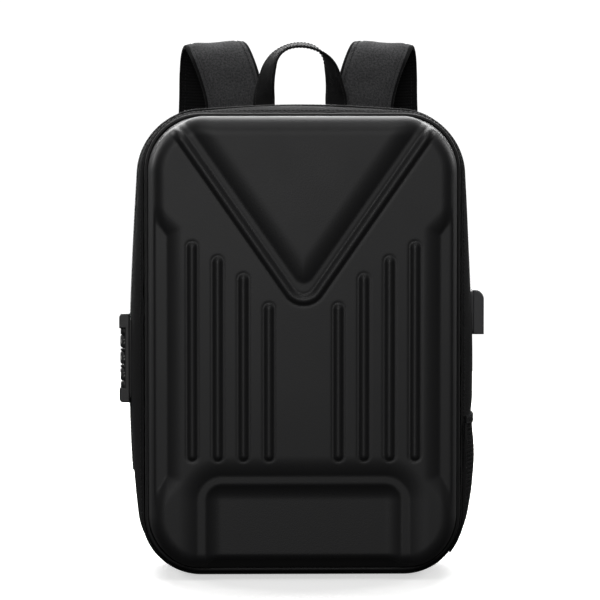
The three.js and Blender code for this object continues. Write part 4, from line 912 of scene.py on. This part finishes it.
def shoulder_pads():
    """Foam pads: a lens-like section, pressed in along a sewn line near each edge, cloth outside and mesh inside,
    with tape folded round the edges and a row of stitches on each sewn line."""
    path, length = pad_places()
    line, wide, thick, tilt = path[:, :3], path[:, 3], path[:, 4], path[:, 5]
    across = np.stack([np.ones_like(tilt), 0 * tilt, -tilt], axis=1)
    run = np.linspace(0, length, len(path))
    u = np.concatenate([np.linspace(-1, 1, 33), np.linspace(1, -1, 33)])
    side = np.concatenate([np.ones(33), -np.ones(33)])
    sewn = np.exp(-((np.abs(u) - PAD_SEAM) / 0.05) ** 2)
    end = ease(run, 0, 14) * (1 - ease(run, length - 16, length)) * 0.6 + 0.4
    v = side * (thick[:, None] / 2 * pad_crown(u) * end[:, None] - 0.9 * sewn)
    v = v + side * 0.45 * ripple(run[:, None] * 1.6, u[None] * 26 * side[None], 21, 34) * (1 - np.abs(u) ** 4)
    section = np.stack([np.broadcast_to(u[None] * (wide[:, None] / 2 - 1.5), v.shape), v], axis=-1)
    points, faces = tube(swept(line, across, section))
    uv = cloth_uv(run, section[..., 0])
    pick = np.concatenate([np.tile(np.where(side > 0, 1, 0), len(path) - 1), np.zeros(2 * len(u), int)])
    sideways, out = axes_on(line, across)
    rolled = round_box(4.6, 5.0, 1.9, 4) * (0.55 + 0.45 * end)[:, None, None]
    rest = thick / 2 * pad_crown(PAD_SEAM) * end - 0.75
    for mirror, label in SIDES:
        flip = np.array([mirror, 1, 1])
        pad = piece("shoulder_pad_cushion" + label, points * flip, faces, [PAD_CLOTH, SPACER],
                    pick=pick, uv=uv)
        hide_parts("shoulder_pad" + label)
        for edge, word in ((-1, "inner"), (1, "outer")):
            hem = line + sideways * (wide / 2 - 2.4)[:, None] * edge
            hem_points, hem_faces = tube(swept(hem, across, rolled))
            piece("pad_binding_%s%s" % (word, label), hem_points * flip, hem_faces, [BINDING],
                  uv=cloth_uv(run, np.arange(rolled.shape[1]) * 1.1))
            for face, tag in ((1, "mesh"), (-1, "cloth")):
                seam = line + sideways * (wide / 2 * PAD_SEAM)[:, None] * edge + out * rest[:, None] * face
                stitches("pad_stitches_%s_%s%s" % (tag, word, label), (seam * flip)[3:-3],
                         (out * face * flip)[3:-3], 4.0, 2.9, 0.6, STITCH, "fabric")


BUCKLE_PAST, BAR_REACH = 30.0, 3.3
WEB_WIDE, WEB_THICK = 25.0, 1.6


class StrapEnd:
    """The axes at a strap's lower end: down runs on along the strap, across is its width, and out leads away from
    the wearer."""

    def __init__(self):
        before, last = [np.array([out * PAD_OUT, PANEL_REAR_Y + back * PAD_BACK, up * BODY_HEIGHT])
                        for out, back, up, *_ in PAD_ROWS[-2:]]
        self.down = unit(last - before)
        self.across = unit(np.array([1.0, 0, 0]) - self.down * self.down[0])
        self.out = np.cross(self.across, self.down)
        self.middle = last + self.down * BUCKLE_PAST

    def at(self, along, away):
        """A place at a distance along from the buckle's middle and away from the wearer."""
        return self.middle + self.down * along + self.out * away

    def turn(self, centre, sign, start, end):
        """Points of a half circle round one of the buckle's bars."""
        return [self.at(centre + sign * BAR_REACH * math.sin(t), -BAR_REACH * math.cos(t))
                for t in np.linspace(start, end, 11)]


ANCHOR_X = 112.0


def lower_straps():
    """The tab that ties the buckle to the pad, the adjusting webbing down to the anchor, and the anchor's patch."""
    end, near = StrapEnd(), BAR_REACH
    tab = [end.at(-29.7, -near * 0.55), end.at(-17.5, -near), *end.turn(-11.0, 1, 0, PI), end.at(-17.5, near),
           end.at(-29.7, near * 0.55)]
    path, _ = smooth_path(tab, 60)
    strip("pad_tab_webbing", path, steady(end.across, path), WEB_WIDE, WEB_THICK, WEBBING, "webbing",
          "pad_tab", both=True)
    low, high = frame_box("strap_anchor_right")
    foot = np.array([ANCHOR_X, high[1] + GAP + WEB_THICK / 2, 42.0])
    leave = end.at(26, -near)
    rows = [end.at(78, near + 1), end.at(58, near + 2.2), end.at(39, near + 0.5), end.at(12, near),
            *end.turn(-1.5, -1, PI, 0), end.at(12, -near), end.at(19, -near), leave,
            leave + (foot - leave) * 0.4 + [0, 2.5, 0], leave + (foot - leave) * 0.8 + [0, 1.0, 0],
            foot + [0, 0.2, 9], foot]
    path, _ = smooth_path(rows, 170)
    blend = ease(np.linspace(0, 1, 170), 0.55, 0.9)[:, None]
    across = unit(end.across * (1 - blend) + np.array([1.0, 0, 0]) * blend)
    strip("adjusting_webbing", path, across, WEB_WIDE, WEB_THICK, WEBBING, "webbing", "lower_webbing", both=True)
    z = np.linspace(low[2] + 0.1, high[2] - 0.1, 24)
    lean = np.interp(z, [18, 48], [low[1] + 1.0, high[1] - 1.0])
    place = np.stack([np.full(len(z), ANCHOR_X), lean, z], axis=1)
    strip("anchor_patch", place, steady([1, 0, 0], place),
          np.interp(z, [18, 26, 48], [46.0, 44.0, 27.0]), 1.9, CLOTH, "fabric", "strap_anchor", both=True)
    return end


RAIL_X, RAIL_HALF, BAR_SPACING = 15.6, 15.6, 12.5


def buckles(end):
    """Ladder buckles: two rounded side rails and three rounded bars across them."""
    rail, bar = round_box(2.8, 4.0, 1.2, 4), round_box(5.0, 3.6, 1.7, 4)
    ends = ((-RAIL_HALF, 0.7), (0.6 - RAIL_HALF, 1), (RAIL_HALF - 0.6, 1), (RAIL_HALF, 0.7))
    spans = ((0.2 - RAIL_X, 1), (0.0, 1), (RAIL_X - 0.2, 1))
    parts = [prism(rail, ends, 1, [x, 0]) for x in (-RAIL_X, RAIL_X)]
    parts += [prism(bar, spans, 0, [y, 0]) for y in (-BAR_SPACING, 0.0, BAR_SPACING)]
    points, faces = joined([tube(part) for part in parts])
    placed = points @ np.stack([end.across, -end.down, -end.out]) + end.middle
    for side, label in SIDES:
        made = piece("ladder_buckle" + label, placed * [side, 1, 1], faces, [ACETAL])
        crease(made)
        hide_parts("strap_buckle" + label)


def crease(thing, angle=40):
    """Faces that meet at more than an angle are shaded with a sharp edge between them."""
    thing.data.set_sharp_from_angle(angle=math.radians(angle))


# The zip

ZIP_DEPTH = 0.69
ZIP_END = 94.0


def zip_line(out):
    """The zip's middle line round the fabric body and the way outwards there, from the right foot over the top."""
    path = ring(body_outline([ZIP_DEPTH]), EDGE_Y + GUSSET_DEPTH * ZIP_DEPTH)[0]
    high = np.flatnonzero(path[:, 2] > ZIP_END)
    path = path[high[0]:high[-1] + 1]
    normal = outward(unit(np.cross(ways(path), np.array([0, 1.0, 0]))), path)
    return path + normal * out, normal


def main_zip():
    """The zip: two tapes on the body and a nylon coil between them, a tooth from each side in turn."""
    path, normal = zip_line(1.0)
    across = steady([0, 1, 0], path)
    strip("zip_tape", path, across, 10.5, 0.9, CLOTH, "zip_tape", "main_zip", steps=5)
    place, along, up = along_path(path + normal * 0.75, normal, 1.35)
    turn = np.where(np.arange(len(place)) % 2 == 0, -0.75, 0.75)[:, None]
    sideways = steady([0, 1, 0], place)
    bars("zip_coil", place + sideways * turn, sideways + along * 0.12, up, 2.7, 1.0, COIL, "zip_tape")
    for edge in (-1, 1):
        stitches("zip_stitches_%d" % (edge + 1), path + across * 4.3 * edge + normal * 0.55, normal, 3.6, 2.6, 0.55,
                 STITCH, "fabric")


def sliders():
    """Each slider: a waisted body over the coil, a bridge, and a tab that hangs from it towards the lock."""
    for node_name in ("zip_slider_upper", "zip_slider_lower"):
        low, high = frame_box(node_name)
        z = (low[2] + high[2]) / 2
        face, y = high[0], EDGE_Y + GUSSET_DEPTH * ZIP_DEPTH
        t = np.linspace(-1, 1, 15)
        shell = round_box(1.0, 1.0, 0.3, 3)
        waist = 8.6 - 2.2 * np.exp(-((t - 0.1) / 0.45) ** 2)
        ends = [(z + 6.2 * k, [-2.4, w]) for k, w in zip(t, waist)]
        parts = [prism(shell[:, ::-1], ends, 2, [face - 1.3, y])]
        loop, _ = smooth_path([(face - 2.2, y, z + 4), (face - 4.1, y, z + 3.2), (face - 4.3, y, z),
                               (face - 4.1, y, z - 3.2), (face - 2.2, y, z - 4)], 21)
        parts.append(swept(loop, steady([0, 1, 0], loop), round_box(2.4, 1.1, 0.45, 3)))
        pull, _ = smooth_path([(face - 3.4, y - 0.5, z - 1.0), (face - 3.3, y - 4, z - 3.0),
                               (face - 2.9, y - 9, z - 5.5), (face - 2.3, y - 14, z - 7.5)], 21)
        wide = 4.6 + 1.2 * np.sin(np.linspace(0, PI, 21))
        parts.append(swept(pull, steady([0, 0.5, 1], pull),
                           np.stack([round_box(4.6, 1.3, 0.5, 3) * [w / 4.6, 1] for w in wide])))
        points, faces = joined([tube(part) for part in parts])
        made = piece(node_name.replace("zip_slider", "zip_puller"), points, faces, [METAL])
        crease(made)
        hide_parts(node_name)


# The combination lock

AXLE_X, LOCK_Y = -169.08, -2.12
DIAL_HEIGHTS, DIAL_RADIUS = (191.0, 207.0, 223.0), 6.32
RIB_SPANS = ((177.6, 184.2), (197.8, 200.2), (213.8, 216.2), (229.8, 236.4))


def glyph(text, size):
    """The triangles of a digit in Blender's own font, centred, in millimetres, 0.3 mm thick."""
    curve = bpy.data.curves.new("digit", "FONT")
    curve.body, curve.size, curve.extrude = text, size * MM, 0.00015
    curve.align_x, curve.align_y = "CENTER", "CENTER"
    curve.resolution_u = 3
    holder = bpy.data.objects.new("digit", curve)
    bpy.context.scene.collection.objects.link(holder)
    mesh = bpy.data.meshes.new_from_object(holder.evaluated_get(bpy.context.evaluated_depsgraph_get()))
    mesh.calc_loop_triangles()
    points = np.zeros(len(mesh.vertices) * 3)
    mesh.vertices.foreach_get("co", points)
    faces = np.zeros(len(mesh.loop_triangles) * 3, np.int32)
    mesh.loop_triangles.foreach_get("vertices", faces)
    bpy.data.objects.remove(holder)
    bpy.data.curves.remove(curve)
    bpy.data.meshes.remove(mesh)
    points = points.reshape(-1, 3) / MM
    points[:, :2] -= (points[:, :2].min(0) + points[:, :2].max(0)) / 2
    return points, [faces.reshape(-1, 3)]


def dials():
    """Three number dials: a drum with ten flutes between its digits and bevelled rims, and its printed digits."""
    digits = [glyph(str(k), 6.2) for k in range(10)]
    a = np.linspace(0, 2 * PI, 160, endpoint=False)
    z = np.array([-6.4, -6.3, -5.9, -5.2, -4.4, 0.0, 4.4, 5.2, 5.9, 6.3, 6.4])
    rim = np.array([4.6, 5.0, 5.4, 5.95, *[DIAL_RADIUS] * 3, 5.95, 5.4, 5.0, 4.6])[:, None]
    flute = 0.75 * np.exp(-(((a * 10 / (2 * PI) + 0.5) % 1 - 0.5) * 2 * PI * 6.3 / 10 / 0.55) ** 2)
    r, angle = rim - flute * (rim > 5.3), a + PI / 10 + PI
    for number, height in enumerate(DIAL_HEIGHTS, 1):
        rings = np.stack([AXLE_X + r * np.cos(angle), LOCK_Y + r * np.sin(angle),
                          np.broadcast_to(height + z[:, None], r.shape)], axis=-1)
        points, faces = tube(rings)
        drum = piece("dial_drum_%d" % number, points, faces, [DIAL], body="dial_%d" % number)
        crease(drum, 35)
        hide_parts("lock_dial_%d" % number)
        placed = []
        for k, (some, groups) in enumerate(digits):
            turn = PI + k * 2 * PI / 10
            right = np.array([-math.sin(turn), math.cos(turn), 0])
            out = np.array([math.cos(turn), math.sin(turn), 0])
            drop = DIAL_RADIUS - np.sqrt(DIAL_RADIUS**2 - np.clip(some[:, :1], -3, 3) ** 2)
            place = (np.array([AXLE_X, LOCK_Y, height]) + right * some[:, :1] + np.array([0, 0, 1.0]) * some[:, 1:2]
                     + out * (DIAL_RADIUS - 0.05 + some[:, 2:3] - drop))
            placed.append((place, groups))
        points, faces = joined(placed)
        piece("dial_digits_%d" % number, points, faces, [DIGIT], body="dial_%d" % number,
              smooth=False)


def lock_ribs():
    """Fixed ribs of the housing between the dials and beside the end ones, rounded on their outer face."""
    shape = round_box(2 * (AXLE_X + 175.0), 17.0, 4.0, 8)
    parts = []
    for low, high in RIB_SPANS:
        ends = ((low, 0.96), (low + 0.3, 1), (high - 0.3, 1), (high, 0.96))
        parts.append(tube(prism(shape, ends, 2, [AXLE_X, LOCK_Y])))
    points, faces = joined(parts)
    crease(piece("lock_ribs", points, faces, [HOUSING]), 50)


def port_foot():
    """The hood's foot: the outline of its back, carried from the hood's rear plane in to just under the fabric."""
    low, high = frame_box("port_hood")
    shape = round_box(high[2] - low[2] - 1.4, high[1] - low[1] - 1.4, 3.0, 5, 24)
    z, y = (low[2] + high[2]) / 2 + shape[:, 0], (low[1] + high[1]) / 2 + shape[:, 1]
    skin = np.array([side_at(1, (b - EDGE_Y) / GUSSET_DEPTH, [h])[0] for b, h in zip(y, z)])
    inner, outer = np.minimum(skin - 0.6, low[0] + 0.2), np.full(len(z), low[0] + 0.6)
    points, faces = tube(np.stack([np.stack([x, y, z], axis=1) for x in (inner, outer)]))
    crease(piece("port_hood_foot", points, faces, [HOOD]), 50)


# The net pocket

NET_SLOPE, NET_PITCH, NET_CORD = 1.6, 2.6, 0.5
NET_FROM, NET_WIDE = 0.06, 0.88  # shares of the body's depth


def pocket_surface(share, z, out):
    """Places on the pocket: at its edges the yielding side, and between them the side as if unyielding, bulged by up
    to 3 mm; the share between the two is a rounded arch across."""
    levels = np.linspace(18, 158, 71)
    i, j = np.clip(share, 0, 1) * 44, np.clip((z - 18) / 2, 0, 70)
    i0, j0 = np.minimum(i.astype(int), 43), np.minimum(j.astype(int), 69)
    fi, fj = i - i0, j - j0
    sides = []
    for dent in (True, False):
        grid = np.stack([side_at(1, d, levels, dent) for d in np.linspace(NET_FROM, NET_FROM + NET_WIDE, 45)])
        sides.append((grid[i0, j0] * (1 - fj) + grid[i0, j0 + 1] * fj) * (1 - fi)
                     + (grid[i0 + 1, j0] * (1 - fj) + grid[i0 + 1, j0 + 1] * fj) * fi)
    arch = np.sin(PI * np.clip(share, 0, 1)) ** 0.45
    bulge = 3.2 * ease(z, 23, 84) * (1 - ease(z, 104, 149)) - 0.9 * ease(z, 120, 146)
    side = sides[0] + (sides[1] - sides[0] + bulge) * arch
    return np.stack([side + 0.7 + out, EDGE_Y + GUSSET_DEPTH * (NET_FROM + NET_WIDE * share),
                     z + 0 * share], axis=-1)


def net_pocket():
    """The pocket's net: two families of slanting cords that cross in diamonds, each a thin four-sided tube, with a
    folded tape round the sides and foot, and a gathered elastic hem at the mouth."""
    wide, tall, count = NET_WIDE * GUSSET_DEPTH, POCKET_TOP - POCKET_FOOT, 52
    starts = np.arange(-tall / NET_SLOPE, wide, NET_PITCH)
    low = np.clip(starts, 0.4, wide - 0.4)
    high = np.clip(starts + tall / NET_SLOPE, 0.4, wide - 0.4)
    keep = high - low > 4
    starts, low, high = starts[keep], low[keep], high[keep]
    t = np.linspace(0, 1, count)[None]
    across = low[:, None] + (high - low)[:, None] * t
    z = POCKET_FOOT + 0.5 + (across - starts[:, None]) * NET_SLOPE * (tall - 1) / tall
    a = np.linspace(0, 2 * PI, 4, endpoint=False) + PI / 4
    groups = []
    for share, phase in ((across / wide, 0), (1 - across / wide, PI)):
        centre = pocket_surface(share, z, 0.22 * np.sin(across * 2 * PI / NET_PITCH + phase))
        along = unit(np.gradient(centre, axis=1))
        sideways = unit(np.cross(along, np.array([1.0, 0, 0])))
        out = np.cross(sideways, along)
        groups.append(centre[:, :, None] + NET_CORD * (sideways[:, :, None] * np.cos(a)[:, None]
                                                       + out[:, :, None] * np.sin(a)[:, None]))
    rings = np.concatenate(groups)
    cells = quads_of(count, 4, False, True)
    caps = np.array([[3, 2, 1, 0], np.array([0, 1, 2, 3]) + (count - 1) * 4])
    shift = (np.arange(len(rings)) * count * 4)[:, None, None]
    faces = np.concatenate([(cells + shift).reshape(-1, 4), (caps + shift).reshape(-1, 4)])
    made = piece("pocket_net", rings, [faces], [NET])
    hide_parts("side_pocket")
    bend = POCKET_FOOT + 9
    edge = [(0.0, z) for z in np.linspace(POCKET_TOP + 1, bend, 40)]
    edge += [(0.07 * (1 - math.cos(t)), bend - 9 * math.sin(t)) for t in np.linspace(0.2, PI / 2, 8)]
    edge += [(share, POCKET_FOOT) for share in np.linspace(0.1, 0.9, 40)]
    edge += [(1 - 0.07 * (1 - math.sin(t)), bend - 9 * math.cos(t)) for t in np.linspace(0.2, PI / 2, 8)]
    edge += [(1.0, z) for z in np.linspace(bend + 1, POCKET_TOP + 1, 40)]
    edge = np.array(edge)
    inwards = edge + 0.03 * (np.array([0.5, 90.0]) - edge)
    both = np.concatenate([pocket_surface(edge[:, 0], edge[:, 1], 0.3),
                           pocket_surface(inwards[:, 0], inwards[:, 1], 0.3)], axis=1)
    path, _ = smooth_path(both, 220)
    strip("pocket_tape", path[:, :3], path[:, 3:] - path[:, :3], 5.0, 1.4, BINDING, "pocket_mesh", steps=3)
    share = np.linspace(0, 1, 170)
    gather = 0.3 * np.sin(share * 150) * ease(share, 0, 0.1) * (1 - ease(share, 0.9, 1))
    path = pocket_surface(share, np.full(170, POCKET_TOP + 4.2), 0.3 + gather)
    strip("pocket_elastic", path, steady([0, 0, 1], path), 8.4, 2.0, HEM, "pocket_mesh",
          "pocket_hem", steps=5)
    for row in (-2.6, 2.6):
        stitches("pocket_stitches_%d" % (row > 0), path + [1.1, 0, row], steady([1, 0, 0], path),
                 3.4, 2.4, 0.5, STITCH, "pocket_mesh")


# Looks of the frame's own solids that stay in sight

def dress():
    """Gives the lock's housing, the charging port and other plain hard parts their materials."""
    looks = {"lock_axle": METAL, "port_hood": HOOD, "port_socket": SOCKET}
    for name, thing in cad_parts.items():
        if not thing.hide_render:
            thing.data.materials.clear()
            thing.data.materials.append(looks.get(name, HOUSING))


front_shell()
piping()
fabric_body()
body_stitching()
back_panel()
handle()
shoulder_pads()
buckles(lower_straps())
main_zip()
sliders()
dials()
lock_ribs()
port_foot()
net_pocket()
dress()


# Camera, light and floor

def aim(thing, target):
    """Turns an object so that its -Z looks at a place."""
    thing.rotation_euler = (Vector(target) - thing.location).to_track_quat("-Z", "Y").to_euler()


def camera():
    """The camera 3.2 m away on a long lens, 1.3 degrees to the left of the front and 3 degrees above it."""
    data = bpy.data.cameras.new("camera")
    data.sensor_width, data.lens, data.clip_end = 36.0, 197.9, 50.0
    made = bpy.data.objects.new("camera", data)
    bpy.context.scene.collection.objects.link(made)
    target = Vector((-0.00126, 0.0, 0.2624))
    turn, rise_by, distance = math.radians(-1.3), math.radians(3.0), 3.2
    made.location = target + distance * Vector((math.sin(turn) * math.cos(rise_by),
                                                -math.cos(turn) * math.cos(rise_by), math.sin(rise_by)))
    aim(made, target)
    bpy.context.scene.camera = made


def softbox(name, place, target, wide, tall, watts):
    """A rectangular area light that looks at a target."""
    data = bpy.data.lights.new(name, "AREA")
    data.shape, data.size, data.size_y, data.energy = "RECTANGLE", wide, tall, watts
    made = bpy.data.objects.new(name, data)
    bpy.context.scene.collection.objects.link(made)
    made.location = place
    aim(made, target)


SOFTBOXES = (  # name, place, target, width, height, watts
    ("overhead", (0.0, 1.35, 2.3), (0.0, 0.1, 0.3), 2.4, 2.3, 105.0),
    ("front", (-0.35, -3.4, 0.95), (0.0, 0.0, 0.25), 1.3, 0.9, 23.0),
    ("brow", (0.0, -1.9, 2.9), (0.0, 0.0, 0.35), 2.2, 0.9, 13.0),
    ("rear", (0.0, 3.2, 1.3), (0.0, 0.0, 0.25), 2.2, 1.2, 60.0),
    ("left", (-2.6, 1.5, 1.5), (0.0, 0.0, 0.25), 1.0, 1.4, 28.0),
    ("right", (2.6, 1.5, 1.5), (0.0, 0.0, 0.25), 1.0, 1.4, 28.0))
FLOOR_HALF = 2.6


def studio():
    """A softbox overhead and a little behind, weak ones before the bag and high over its brow, three for its other
    sides, a pale floor, and a white backdrop that gives little light."""
    for row in SOFTBOXES:
        softbox(*row)
    world = bpy.data.worlds.new("backdrop")
    bpy.context.scene.world = world
    world.use_nodes = True
    tree = world.node_tree
    tree.nodes.clear()
    split = node(tree, "ShaderNodeSeparateXYZ", {"Vector": node(tree, "ShaderNodeTexCoord").outputs["Generated"]})
    glow = mapped(tree, split.outputs["Z"], from_min=-0.1, from_max=0.9, to_min=0.03, to_max=0.3)
    dim = node(tree, "ShaderNodeBackground", {"Strength": glow})
    white = node(tree, "ShaderNodeBackground", values={"Color": (1.0, 1.0, 1.0, 1.0), "Strength": 1.1})
    pick = node(tree, "ShaderNodeMixShader", {0: node(tree, "ShaderNodeLightPath").outputs["Is Camera Ray"],
                                              1: dim.outputs[0], 2: white.outputs[0]})
    node(tree, "ShaderNodeOutputWorld", {"Surface": pick.outputs[0]})
    mesh = bpy.data.meshes.new("floor")
    mesh.from_pydata([(x * FLOOR_HALF, y * FLOOR_HALF, 0) for x, y in ((-1, -1), (1, -1), (1, 1), (-1, 1))], [],
                     [(0, 1, 2, 3)])
    pale, _, _ = material("painted_floor", "f6f6f5", roughness=0.9, specular_ior_level=0.0,
                          emission_color=(1.0, 1.0, 1.0, 1.0), emission_strength=0.55)
    mesh.materials.append(pale)
    floor = bpy.data.objects.new("floor", mesh)
    bpy.context.scene.collection.objects.link(floor)
    floor.visible_diffuse = floor.visible_glossy = False
    bpy.context.scene.view_settings.view_transform = "Standard"
    bpy.context.scene.view_settings.look = "None"


camera()
studio()
